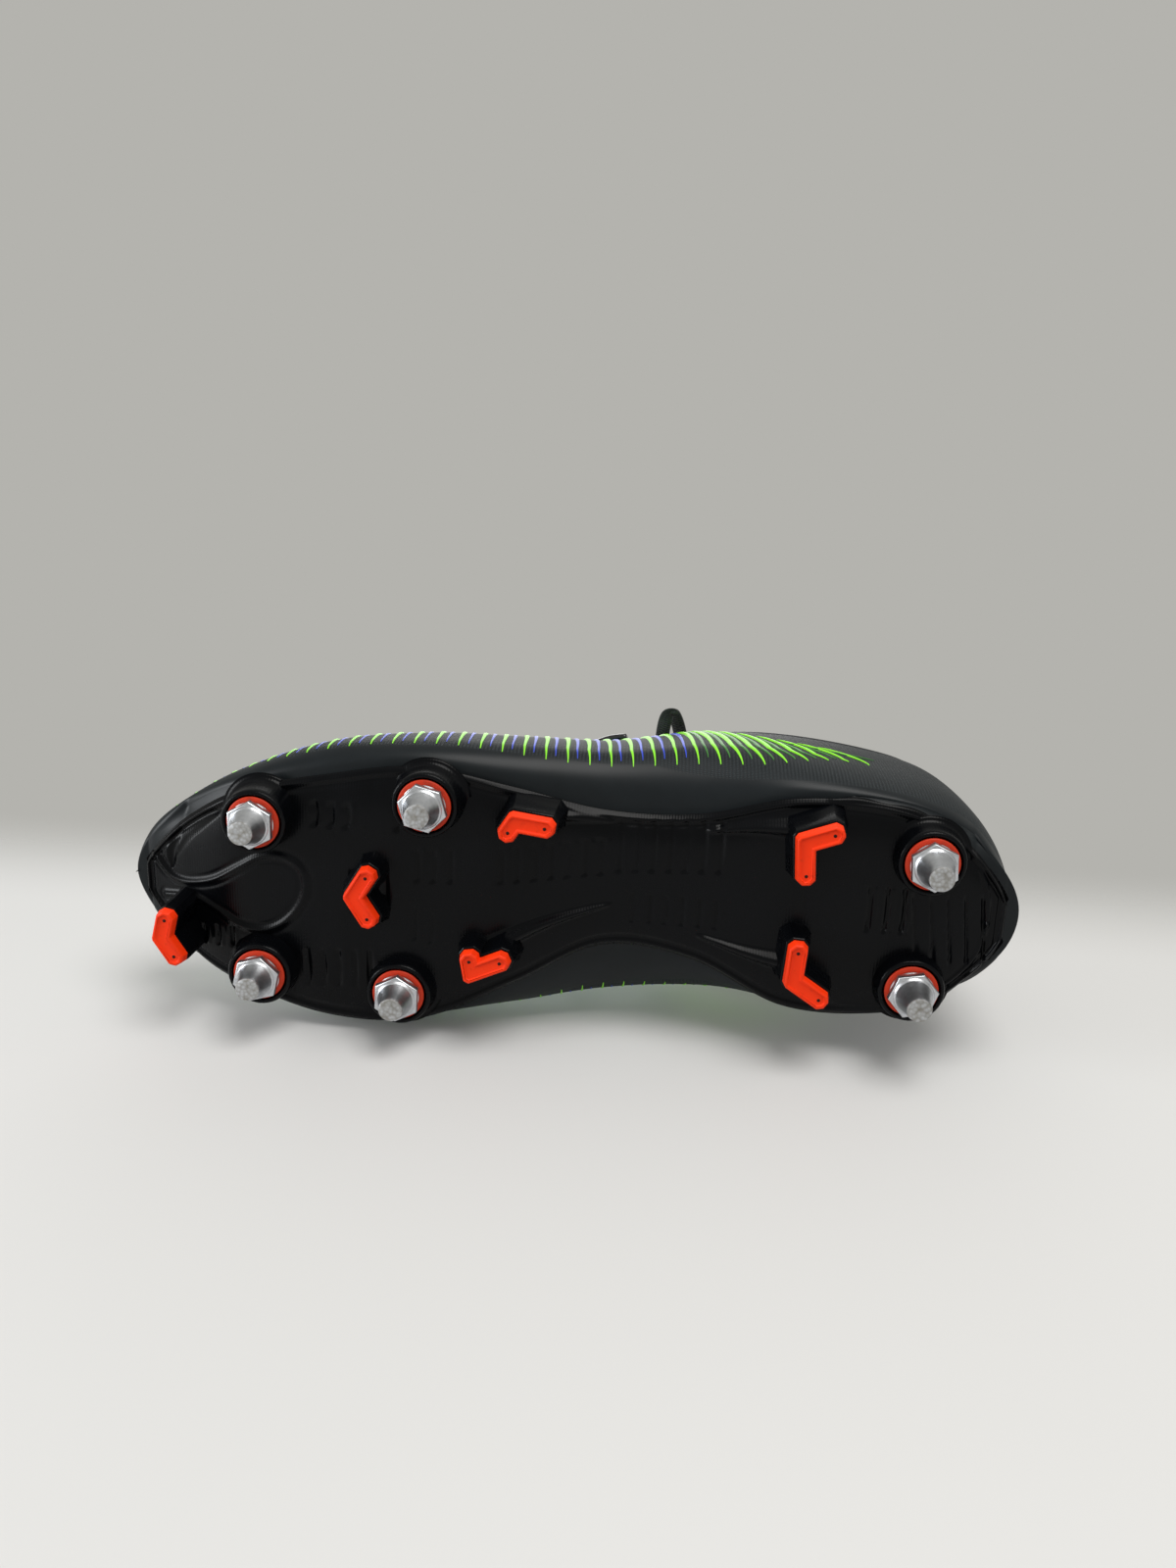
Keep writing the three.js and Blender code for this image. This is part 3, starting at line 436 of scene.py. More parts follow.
def swell(gap, half_width):
    return (0.5 + 0.5 * math.cos(math.pi * min(gap / half_width, 1)))


def flat_line(points, per_step=5):
    return [tuple(p)[:2] for p in smooth_line([(x, y, 0) for x, y in points], per_step)]


pad_line = flat_line(PAD_LINE)
crescent = flat_line(CRESCENT)
cup_lines = [flat_line(line) for line in CUP_LINES]
spines = [flat_line(line) for line in SPINES]


# How far the plate's face stands out at a place, in millimetres.
def relief(x, y, from_edge):
    out = 0.75 * swell(abs(from_edge - 1.6), 1.3) - 0.35 * swell(abs(from_edge - 3.6), 1.3)
    if y < -78:
        gap, _ = near_line(x, y, pad_line, 3)
        out += 0.85 * swell(gap, 1.3) - 0.25 * swell(abs(gap - 2), 1)
        gap, share = near_line(x, y, crescent, 5)
        half = 0.6 + 3.4 * math.sin(math.pi * clamp(share)) ** 0.8
        out -= 1.1 * swell(gap, half)
    if y > 76:
        for line in cup_lines:
            gap, _ = near_line(x, y, line, 3)
            out += 0.6 * swell(gap, 1.2)
        for groove in HEEL_GROOVES:
            bow = groove - (x + 3) * 0.12
            if abs(x + 3) < 13 and abs(y - bow) < 1:
                out -= 0.8 * swell(abs(y - bow), 0.85) * clamp((13 - abs(x + 3)) / 3)
        for groove in (72, 78):
            out -= 0.5 * swell(math.hypot((x - 4) / 3, y - groove), 1.1)
    for left, right, centre in SLITS:
        if abs(y - centre) < 2.6 and left < x < right:
            share = (x - left) / (right - left)
            bow = centre + 0.5 * math.sin(math.pi * share)
            fade = clamp(4 * math.sin(math.pi * share))
            out += (0.5 * swell(abs(y - bow - 1.4), 0.9) - 1.25 * swell(abs(y - bow), 1.05)) * fade
    for line in spines:
        gap, share = near_line(x, y, line, 6)
        half = 3.6 * (1 - share) + 0.8
        out += (2.6 * (1 - share) + 0.8) * swell(gap, half) * clamp(8 * (1 - share))
    return out


# Moulded nylon: near-black and glossy, with the tool's fine lines across it and a haze of
# handling marks that dulls the gloss in patches.
def moulded_nylon(name, colour="#040506", roughness=(0.2, 0.36), line_strength=0.35):
    look, tree, shader = new_material(name, Coat_Weight=0.03, Coat_Roughness=0.15)
    shader.inputs["Specular IOR Level"].default_value = 0.1
    place = add(tree, "ShaderNodeTexCoord")
    lines = add(tree, "ShaderNodeTexWave", {
        "Vector": place.outputs["Object"], "Scale": 0.314 / (0.9 * MM), "Distortion": 1.2,
        "Detail": 1.0, "Detail Scale": 0.4}, bands_direction="Y")
    haze = add(tree, "ShaderNodeTexNoise", {"Vector": place.outputs["Object"], "Scale": 55.0,
                                            "Detail": 6.0, "Roughness": 0.62})
    span = add(tree, "ShaderNodeMapRange", {"Value": haze.outputs["Fac"], "From Min": 0.35,
                                            "From Max": 0.7, "To Min": roughness[0],
                                            "To Max": roughness[1]})
    tree.links.new(span.outputs[0], shader.inputs["Roughness"])
    tint = mixed(tree, haze.outputs["Fac"], linear(colour), linear("#08090d"))
    tree.links.new(tint, shader.inputs["Base Color"])
    bumped(tree, shader, lines.outputs["Fac"], line_strength, 0.05)
    return look


sole_nylon = moulded_nylon("moulded_nylon")
plate_edge = (0.045, 0.955)


def plate_place(u, v):
    walk = plate_edge[0] + (plate_edge[1] - plate_edge[0]) * u
    walk -= 0.03 * math.sin(2 * math.pi * walk)
    edge_out, edge_in, *_ = section(walk)
    y = y_at(walk, PLATE_INSET)
    x = edge_in + (edge_out - edge_in) * v
    from_edge = min(x - edge_in, edge_out - x, (y_at(1, PLATE_INSET) - abs(y)) * 1.2)
    return x, y, plate_z(x, y) - relief(x, y, from_edge)


STUD_NAMES = [name[len("seat_ring_"):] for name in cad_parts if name.startswith("seat_ring_")]


def middle_of(node):
    low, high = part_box(node)
    centre = (low + high) / 2 / MM
    return centre.x, centre.y, low.z / MM, high.z / MM


# The plate is bored through at each metal stud, so that its post and insert pass freely.
BORE = 5.7
bored = wrapped(400, 116, plate_place)
studs_at = [Vector(middle_of(f"seat_ring_{stud}")[:2]) * MM for stud in STUD_NAMES]
bmesh.ops.delete(bored, context="FACES", geom=[
    face for face in bored.faces
    if min((vert.co.xy - place).length for vert in face.verts for place in studs_at) < BORE * MM])
plate = to_scene("sole_moulding", bored, sole_nylon)
wall = plate.modifiers.new("wall", "SOLIDIFY")
wall.thickness = (PLATE_THICK - 0.3) * MM
wall.offset = -1
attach(plate, "boot")
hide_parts("outsole_plate")


# ---------------------------------------------------------------- stud bosses
# Each metal stud screws into a round boss of the sole moulding: a lip round the seat
# washer, on a flared foot that runs out into the plate.


# Turned shape: a profile of (radius, height) points in millimetres spun about Z at (x, y).
def turned(profile, x, y, sides=64):
    bm = bmesh.new()
    verts = [bm.verts.new(Vector((x + r, y, z)) * MM) for r, z in profile]
    for a, b in zip(verts, verts[1:]):
        bm.edges.new((a, b))
    bmesh.ops.spin(bm, geom=bm.verts[:] + bm.edges[:], cent=Vector((x, y, 0)) * MM, axis=(0, 0, 1),
                   angle=math.tau, steps=sides, use_merge=True, use_duplicate=False)
    bmesh.ops.remove_doubles(bm, verts=bm.verts, dist=1e-7)
    bmesh.ops.recalc_face_normals(bm, faces=bm.faces)
    return bm


def joined(name, parts, *looks):
    whole = bmesh.new()
    scratch = bpy.data.meshes.new("scratch")
    for part in parts:
        part.to_mesh(scratch)
        part.free()
        whole.from_mesh(scratch)
    bpy.data.meshes.remove(scratch)
    return to_scene(name, whole, *looks)


def boss(stud):
    x, y, _, ring_top = middle_of(f"seat_ring_{stud}")
    lip = ring_top - 0.9
    root = plate_z(x, y)
    tall = root - lip
    profile = [(5.2, ring_top + 6), (5.2, ring_top + 0.5), (8.9, ring_top + 0.4), (8.95, lip + 0.3),
               (9.3, lip), (10.0, lip + 0.15), (10.4, lip + 0.7)]
    for k in range(1, 9):
        t = k / 8
        rise = (tall + 0.9) * math.sin(t * math.pi / 2)
        profile.append((10.4 + 1.0 * t + 2.1 * t ** 4, lip + 0.7 + rise))
    return turned(profile + [(5.2, root + 2.2)] + profile[:1], x, y)


bosses = joined("stud_bosses", [boss(stud) for stud in STUD_NAMES], sole_nylon)
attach(bosses, "boot")


# ---------------------------------------------------------------- seat washers
# A red-orange polyurethane washer lies between each stud's hexagon and its boss.
def cast_urethane(name, colour, dark, roughness=0.42):
    look, tree, shader = new_material(name, Subsurface_Weight=0.04)
    shader.inputs["Specular IOR Level"].default_value = 0.25
    shader.inputs["Subsurface Radius"].default_value = (0.002, 0.0006, 0.0003)
    place = add(tree, "ShaderNodeTexCoord")
    grime = add(tree, "ShaderNodeTexNoise", {"Vector": place.outputs["Object"], "Scale": 420.0,
                                             "Detail": 5.0, "Roughness": 0.6})
    grip = add(tree, "ShaderNodeMapRange", {"Value": grime.outputs["Fac"], "From Min": 0.56,
                                            "From Max": 0.78, "To Min": 0.0, "To Max": 0.5})
    colour_out = mixed(tree, grip.outputs[0], linear(colour), linear(dark))
    tree.links.new(colour_out, shader.inputs["Base Color"])
    rough = add(tree, "ShaderNodeMapRange", {"Value": grime.outputs["Fac"],
                                             "To Min": roughness - 0.1, "To Max": roughness + 0.15})
    tree.links.new(rough.outputs[0], shader.inputs["Roughness"])
    bumped(tree, shader, grime.outputs["Fac"], 0.25, 0.08)
    return look


washer_red = cast_urethane("cast_urethane_red", "#c8371c", "#5c2418")
for stud in STUD_NAMES:
    x, y, low, high = middle_of(f"seat_ring_{stud}")
    washer = to_scene(f"washer_{stud}", turned([
        (3.3, high), (3.3, low + 0.1), (3.4, low), (8.0, low), (8.3, low + 0.12), (8.4, low + 0.4),
        (8.4, high - 0.2), (8.2, high), (3.3, high)], x, y), washer_red)
    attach(washer, f"seat_ring_{stud}")
    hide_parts(f"seat_ring_{stud}")


# ---------------------------------------------------------------- metal studs
# Turned from aluminium bar: a 14 mm hexagon with chamfered corners under a waisted cone.
# The tips are scarred and pitted by stone and concrete.
def turned_aluminium():
    look, tree, shader = new_material("turned_aluminium", Metallic=1.0)
    place = add(tree, "ShaderNodeTexCoord")
    tool_marks = add(tree, "ShaderNodeTexNoise", {"Vector": place.outputs["Object"], "Scale": 700.0,
                                                  "Detail": 3.0})
    height = add(tree, "ShaderNodeSeparateXYZ", {"Vector": place.outputs["Object"]})
    tip = add(tree, "ShaderNodeMapRange", {"Value": height.outputs["Z"], "From Min": 0.35 * MM,
                                           "From Max": 0.9 * MM, "To Min": 1.0, "To Max": 0.0})
    pits = add(tree, "ShaderNodeTexVoronoi", {"Vector": place.outputs["Object"],
                                              "Scale": 1 / (1.1 * MM)})
    pitted = add(tree, "ShaderNodeMath", {0: pits.outputs["Distance"], 1: tip.outputs[0]},
                 operation="MULTIPLY")
    base = mixed(tree, tool_marks.outputs["Fac"], linear("#aeb1b6"), linear("#d9dbde"))
    worn = mixed(tree, pitted.outputs[0], base, linear("#8e8b84"))
    tree.links.new(worn, shader.inputs["Base Color"])
    rough = add(tree, "ShaderNodeMapRange", {"Value": tip.outputs[0], "To Min": 0.36, "To Max": 0.6})
    tree.links.new(rough.outputs[0], shader.inputs["Roughness"])
    relief_sum = add(tree, "ShaderNodeMath", {
        0: pitted.outputs[0], 1: 2.0, 2: tool_marks.outputs["Fac"]}, operation="MULTIPLY_ADD")
    bumped(tree, shader, relief_sum.outputs[0], 0.22, 0.1)
    return look


aluminium = turned_aluminium()


def hexagon(x, y, low, high, across):
    bm = bmesh.new()
    bmesh.ops.create_cone(bm, cap_ends=True, segments=6, radius1=across / math.sqrt(3) * MM,
                          radius2=across / math.sqrt(3) * MM, depth=(high - low) * MM,
                          matrix=Matrix.Translation(Vector((x, y, (low + high) / 2)) * MM)
                          @ Matrix.Rotation(math.radians(17 * (x + y)), 4, "Z"))
    rims = [edge for edge in bm.edges if abs(edge.verts[0].co.z - edge.verts[1].co.z) < 1e-6]
    bmesh.ops.bevel(bm, geom=rims, offset=0.55 * MM, affect="EDGES", segments=3, profile=0.5,
                    material=-1)
    return bm


def stud_shank(x, y, low, high):
    root = high - 3.4
    profile = [(0.0, low), (2.2, low), (3.3, low + 0.05), (3.75, low + 0.3), (3.9, low + 0.75)]
    for k in range(1, 8):
        t = k / 7
        profile.append((3.95 + 1.2 * t + 0.6 * t ** 3, low + 0.75 + (root - low - 1.4) * t))
    profile += [(6.0, root - 0.5), (6.4, root + 0.1), (6.4, root + 0.9), (0.0, root + 0.9)]
    return turned(profile, x, y, 48)


for stud in STUD_NAMES:
    x, y, low, high = middle_of(f"stud_{stud}")
    flange = turned([(3.2, high), (3.2, high - 0.8), (6.7, high - 0.8), (7.0, high - 0.6),
                     (7.0, high - 0.1), (6.9, high), (3.2, high)], x, y)
    metal = joined(f"metal_stud_{stud}", [
        hexagon(x, y, high - 3.3, high - 0.4, 13.7), stud_shank(x, y, low, high), flange], aluminium)
    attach(metal, f"stud_{stud}")
    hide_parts(f"stud_{stud}")
    split = metal.modifiers.new("crisp", "EDGE_SPLIT")
    split.split_angle = math.radians(32)


# Zinc-plated steel of the posts and of the threaded inserts that they screw into.
def zinc_plate():
    look, tree, shader = new_material("zinc_plated_steel", Metallic=1.0)
    place = add(tree, "ShaderNodeTexCoord")
    thread = add(tree, "ShaderNodeTexWave", {"Vector": place.outputs["Object"],
                                             "Scale": 0.314 / (1.0 * MM)}, bands_direction="Z")
    spangle = add(tree, "ShaderNodeTexNoise", {"Vector": place.outputs["Object"], "Scale": 600.0})
    tint = mixed(tree, spangle.outputs["Fac"], linear("#7f8286"), linear("#b3b5b4"))
    tree.links.new(tint, shader.inputs["Base Color"])
    shader.inputs["Roughness"].default_value = 0.34
    bumped(tree, shader, thread.outputs["Fac"], 0.9, 0.4)
    return look


def give(node, look):
    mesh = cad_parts[node].data
    mesh.materials.clear()
    mesh.materials.append(look)


steel = zinc_plate()
for stud in STUD_NAMES:
    give(f"stud_post_{stud}", steel)
    give(f"threaded_insert_{stud}", steel)


# ---------------------------------------------------------------- moulded chevron studs
# Orange urethane caps, each a bent blade with a raised rim round a dished face, moulded
# onto a flared black base of the sole. Two small vent pits mark each face. They are drawn as dark
# discs that stand in for the hollows: painted shade.
CHEVRONS = {
    "toe_medial": ((-16, -126.0), (14, 9.5), (148, 10.5)),
    "fore_centre": ((1.6, -63.3), (32, 11), (148, 11.5)),
    "mid_lateral": ((28.8, -12.7), (213, 7), (98, 12.5)),
    "mid_medial": ((-21.8, -25.8), (-10, 7.2), (66, 13)),
    "heel_lateral": ((27.2, 75.5), (176, 13.5), (70, 12)),
    "heel_medial": ((-18.2, 75.2), (4, 13), (124, 13)),
}
ARM_WIDE = 6.2
CORNER = 1.6
CAP_ROUNDING = 0.25


def chevron_outline(apex, arm_one, arm_two, grow=0.0):
    half = ARM_WIDE / 2 + grow
    cut = min(CORNER + max(grow, 0) / 2, 0.7 * half)
    arms = []
    for degrees, long in (arm_one, arm_two):
        along = Vector((math.cos(math.radians(degrees)), math.sin(math.radians(degrees))))
        arms.append([along, Vector((-along.y, along.x)), long + grow])
    inner = (arms[0][0] + arms[1][0]).normalized()
    for arm in arms:
        if arm[1].dot(inner) > 0:
            arm[1].negate()
    open_share = math.sqrt((1 - arms[0][0].dot(arms[1][0])) / 2)
    apex_reach = 0.6 * half * math.sqrt(1 - open_share ** 2) / open_share
    centre = Vector(apex)

    def point(arm, forward, sideways):
        return centre + arm[0] * forward + arm[1] * sideways

    one, two = arms
    return [
        centre + inner * half / open_share,
        point(one, one[2] - cut, -half), point(one, one[2], cut - half), point(one, one[2], half - cut),
        point(one, one[2] - cut, half), point(one, -apex_reach, half),
        point(two, -apex_reach, half), point(two, two[2] - cut, half),
        point(two, two[2], half - cut), point(two, two[2], cut - half), point(two, two[2] - cut, -half),
    ]


# Blade raised in steps: each step is (how far the outline grows, height).
def stepped(outline_of, levels):
    bm = bmesh.new()
    face = bm.faces.new([bm.verts.new(Vector((p.x, p.y, levels[0][1])) * MM)
                         for p in outline_of(levels[0][0])])
    for grow, height in levels[1:]:
        face = bmesh.ops.extrude_discrete_faces(bm, faces=[face])["faces"][0]
        for vert, p in zip(face.verts, outline_of(grow)):
            vert.co = Vector((p.x, p.y, height)) * MM
    rim = first_loop(bm)
    if rim:
        bm.faces.new(rim[::-1])
    bmesh.ops.recalc_face_normals(bm, faces=bm.faces)
    return bm


def first_loop(bm):
    bm.edges.ensure_lookup_table()
    open_edges = [edge for edge in bm.edges if len(edge.link_faces) == 1]
    if not open_edges:
        return []
    loop = [open_edges[0].verts[0], open_edges[0].verts[1]]
    while True:
        step = [e for e in open_edges if loop[-1] in e.verts and loop[-2] not in e.verts]
        if not step or step[0].other_vert(loop[-1]) == loop[0]:
            return loop
        loop.append(step[0].other_vert(loop[-1]))


cap_orange = cast_urethane("cast_urethane_orange", "#ff3804", "#b8300a", 0.5)
# The vent pits are dark discs, not hollows. Their colour is painted shade.
painted_pit_shade = cast_urethane("vent_pit_painted_shade", "#2a0c05", "#120502", 0.7)
bases = []
for name, shape in CHEVRONS.items():
    node = f"chevron_stud_{name}"
    x, y, low, high = middle_of(node)

    def outline(grow):
        return chevron_outline(*shape, grow)

    cap = stepped(outline, [(-1.6, low + 0.5), (-1.4, low + 0.45), (-1.25, low + 0.12), (-1.1, low),
                            (-0.7, low), (-0.45, low + 0.12), (-0.3, low + 0.4), (0.0, high - 0.3),
                            (0.05, high), (-0.6, high)])
    pits = []
    for degrees, long in shape[1:]:
        reach = long - 3.2
        px = shape[0][0] + reach * math.cos(math.radians(degrees))
        py = shape[0][1] + reach * math.sin(math.radians(degrees))
        pits.append(turned([(0.0, low + 0.3), (0.35, low + 0.32), (0.55, low + 0.5), (0.5, low + 1.2),
                            (0.0, low + 1.2)], px, py, 16))
    blade = to_scene(f"chevron_cap_{name}", cap, cap_orange)
    smooth = blade.modifiers.new("rounding", "BEVEL")
    smooth.width = CAP_ROUNDING * MM
    smooth.segments = 2
    smooth.limit_method = "ANGLE"
    smooth.angle_limit = math.radians(35)
    split = blade.modifiers.new("crisp", "EDGE_SPLIT")
    split.split_angle = math.radians(30)
    pit_shade_discs = joined(f"chevron_vents_painted_shade_{name}", pits, painted_pit_shade)
    for piece in (blade, pit_shade_discs):
        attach(piece, "boot")
    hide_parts(node)
    root = plate_z(*shape[0])
    spread = 0.3 if name == "toe_medial" else 1.0
    bases.append(stepped(outline, [
        (-1.5, high + 0.3), (0.3 * spread, high + 0.3), (0.6 * spread, high + 0.6),
        (0.8 * spread, high + 1.4),
        (spread, high + (root - high) * 0.45), (1.3 * spread, high + (root - high) * 0.75),
        (1.9 * spread, high + (root - high) * 0.95), (2.4 * spread, root + 0.9),
        (2.4 * spread, root + 2)]))
base_block = joined("chevron_bases", bases, sole_nylon)
rounding = base_block.modifiers.new("rounding", "BEVEL")
rounding.width = 0.5 * MM
rounding.segments = 3
rounding.limit_method = "ANGLE"
rounding.angle_limit = math.radians(30)
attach(base_block, "boot")


# ---------------------------------------------------------------- upper
# One synthetic skin drawn over the last and turned in under the insole board. It is open
# at the throat and cut down round the ankle; a coat with a fine dot mesh gives it grip.
THROAT_FRONT, THROAT_BACK = -0.33 * HALF_LENGTH, 0.21 * HALF_LENGTH
THROAT_HALF = 9
THROAT_SPREAD = 7
TOPLINE = [
    (8.7, 102), (23.3, 98.3), (43.7, 89.4), (72.8, 80.6), (98.9, 82.2), (122.2, 93.6),
    (135.3, 102.4), (150, 104),
]
topline_line = smooth_line([(y, z, 0) for y, z in TOPLINE], 8)


def topline_z(y):
    for a, b in zip(topline_line, topline_line[1:]):
        if a.x <= y <= b.x:
            return a.y + (b.y - a.y) * (y - a.x) / max(b.x - a.x, 1e-6)
    return COLLAR_TOP + 30 if y < topline_line[0].x else topline_line[-1].y


def ridge_x(y):
    return section(walk_at(y))[7]


def throat_half(y):
    if y < THROAT_FRONT:
        return math.sqrt(max(THROAT_HALF ** 2 - (THROAT_FRONT - y) ** 2, 0))
    return THROAT_HALF + THROAT_SPREAD * (y - THROAT_FRONT) / (THROAT_BACK - THROAT_FRONT)


# Smallest across (0 on the ridge) at which the skin still exists on a side.
edge_memory = {}


def top_across(walk, side, inset=0.0, drop=0.0):
    key = (round(walk, 5), side, inset, drop)
    if key in edge_memory:
        return edge_memory[key]

    def cut_away(across):
        p = upper_point(walk, side * across, inset)
        in_throat = (THROAT_FRONT - THROAT_HALF < p.y < THROAT_BACK + 12
                     and abs(p.x - ridge_x(p.y)) < throat_half(p.y))
        return in_throat or p.z > topline_z(p.y) - drop

    if not cut_away(1e-4):
        edge_memory[key] = 0.0
        return 0.0
    kept, gone = 1.0, 1e-4
    for _ in range(18):
        middle = (kept + gone) / 2
        if cut_away(middle):
            gone = middle
        else:
            kept = middle
    edge_memory[key] = kept
    return kept


def slow_ends(u):
    return u - 0.05 * math.sin(2 * math.pi * u)


# Synthetic leather coat: charcoal with a blue-green cast, a dot mesh 1.1 mm apart pressed
# into it, and a smooth band round the bottom where it meets the sole.
def coated_synthetic():
    look, tree, shader = new_material("coated_synthetic", Coat_Weight=0.05, Coat_Roughness=0.4)
    shader.inputs["Specular IOR Level"].default_value = 0.18
    place = add(tree, "ShaderNodeUVMap", uv_map="run")
    dots = add(tree, "ShaderNodeTexVoronoi", {"Vector": place.outputs[0], "Scale": 1 / 1.15,
                                              "Randomness": 0.12})
    dot = add(tree, "ShaderNodeMapRange", {"Value": dots.outputs["Distance"], "From Min": 0.12,
                                           "From Max": 0.42, "To Min": 1.0, "To Max": 0.0})
    run = add(tree, "ShaderNodeSeparateXYZ", {"Vector": place.outputs[0]})
    above = add(tree, "ShaderNodeMapRange", {"Value": run.outputs["Y"], "From Min": 17.0,
                                             "From Max": 18.5})
    shown = add(tree, "ShaderNodeMath", {0: dot.outputs[0], 1: above.outputs[0]}, operation="MULTIPLY")
    body = add(tree, "ShaderNodeTexNoise", {"Vector": place.outputs[0], "Scale": 0.08, "Detail": 4.0})
    base = mixed(tree, body.outputs["Fac"], linear("#101417"), linear("#1b2023"))
    colour = mixed(tree, shown.outputs[0], base, linear("#2c3336"))
    tree.links.new(colour, shader.inputs["Base Color"])
    rough = add(tree, "ShaderNodeMapRange", {"Value": above.outputs[0], "To Min": 0.38, "To Max": 0.56})
    tree.links.new(rough.outputs[0], shader.inputs["Roughness"])
    bumped(tree, shader, shown.outputs[0], 0.6, 0.15)
    return look


skin = coated_synthetic()


def side_grid(side, inset=0.0, low_across=1.0, columns=260, rows=34, from_walk=0.0, swelling=None,
              drop=0.0):
    def place(u, v):
        walk = from_walk + (1 - from_walk) * (slow_ends(u) if from_walk == 0 else u)
        top = top_across(walk, side, inset, drop)
        across = low_across + (top - low_across) * v
        extra = swelling(walk, v) if swelling else 0.0
        return upper_point(walk, side * max(across, 0), inset + extra)

    def run(u, v):
        return place(u, v).y, 90 * v

    bm = wrapped(columns, rows, place, run)
    if side < 0:
        bmesh.ops.reverse_faces(bm, faces=bm.faces)
    return bm


def lasting_floor():
    def place(u, v):
        walk = slow_ends(u)
        edge_out, edge_in, *_ = section(walk)
        x = edge_out + (edge_in - edge_out) * v
        return x, y_at(walk), plate_z(x, y_at(walk)) + PLATE_THICK + FLOOR_GAP

    return wrapped(260, 24, place, lambda u, v: (u * 291, 2))


upper = joined("upper_skin", [side_grid(1), side_grid(-1), lasting_floor()], skin)


def weld(piece, millimetres, outwards=True):
    bm = bmesh.new()
    bm.from_mesh(piece.data)
    bmesh.ops.remove_doubles(bm, verts=bm.verts, dist=millimetres * MM)
    if outwards:
        bmesh.ops.recalc_face_normals(bm, faces=bm.faces)
    bm.to_mesh(piece.data)
    bm.free()


weld(upper, 0.02)
upper_wall = upper.modifiers.new("wall", "SOLIDIFY")
upper_wall.thickness = 1.6 * MM
upper_wall.offset = -1
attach(upper, "boot")
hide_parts("upper_shell")


# ---------------------------------------------------------------- ribs of the upper
# Raised rubber ribs printed on the skin from toe to heel on both sides. Each bright green
# rib widens upwards from a fine point, with a blue one behind it, or a dark green one at
# the heel.
RIB_PITCH = 7.0
RIB_WIDE = 2.9
RIB_HIGH = 0.55
RIB_COUNT = 36
FIRST_RIB_Y = -132
LAST_RIB_Y = 104
SECOND_RIB_AFTER = 2.9   # the blue or dark rib lies this far behind its green one
HEEL_SET_Y = 38          # from here back the second ribs are dark green


def rib(side, foot_y, slant, from_across, to_gap, wide, high):
    start = walk_at(foot_y)
    top = max(top_across(clamp(walk_at(foot_y - slant), 0.004, 0.996), side) + to_gap / 60, 0.05)

    def place(u, v):
        walk = clamp(walk_at(foot_y - slant * u ** 1.4), 0.004, 0.996)
        across = from_across + (top - from_across) * u
        grown = min(1.0, 0.12 + 1.6 * u) * min(1.0, 6 * (1 - u) + 0.12)
        grown *= 1 - 0.45 * u * ease(foot_y, 30, 90)
        v_side = 2 * v - 1
        centre = upper_point(walk, side * across)
        ahead = upper_point(walk, side * (across - 0.01 * (from_across - top)))
        normal = upper_normal(walk, side * across)
        up = (ahead - centre).normalized() if (ahead - centre).length > 1e-6 else Vector((0, 0, 1))
        sideways = normal.cross(up).normalized()
        lift = high * grown ** 0.5 * (1 - v_side ** 4) - 0.35 * v_side ** 8
        return centre + sideways * (wide * grown / 2 * v_side) + normal * lift

    if not 0.004 < start < 0.996:
        return None
    return wrapped(26, 6, place, lambda u, v: (u * 40, v * 2))


def printed_rubber(name, colour, shade):
    look, tree, shader = new_material(name, Roughness=0.42, Coat_Weight=0.15)
    place = add(tree, "ShaderNodeTexCoord")
    grain = add(tree, "ShaderNodeTexNoise", {"Vector": place.outputs["Object"], "Scale": 350.0,
                                             "Detail": 4.0})
    tint = mixed(tree, grain.outputs["Fac"], linear(colour), linear(shade))
    tree.links.new(tint, shader.inputs["Base Color"])
    bumped(tree, shader, grain.outputs["Fac"], 0.2, 0.05)
    return look


rib_green = printed_rubber("printed_rubber_green", "#97f52a", "#7fdc22")
rib_blue = printed_rubber("printed_rubber_blue", "#3350e0", "#2840b8")
rib_dark = printed_rubber("printed_rubber_dark_green", "#3f8a2e", "#2f6b26")
rib_sets = {"green": [], "blue": [], "dark": []}
for side in (1, -1):
    for n in range(RIB_COUNT):
        foot_y = FIRST_RIB_Y + RIB_PITCH * n
        slant = 5 + 11 * ease(foot_y, -60, 110)
        foot = 0.68 + 0.12 * ease(foot_y, -118, -80) + 0.04 * ease(foot_y, -40, 0)
        foot -= 0.12 * ease(foot_y, 60, 100)
        if foot_y > LAST_RIB_Y:
            continue
        rib_sets["green"].append(rib(side, foot_y, slant, foot, 8, RIB_WIDE, RIB_HIGH))
        second = "blue" if foot_y < HEEL_SET_Y else "dark"
        rib_sets[second].append(rib(side, foot_y + SECOND_RIB_AFTER, slant, foot - 0.03, 9, 2.5, 0.4))
for tone, look in (("green", rib_green), ("blue", rib_blue), ("dark", rib_dark)):
    ribs = joined(f"ribs_{tone}", [bm for bm in rib_sets[tone] if bm], look)
    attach(ribs, "boot")


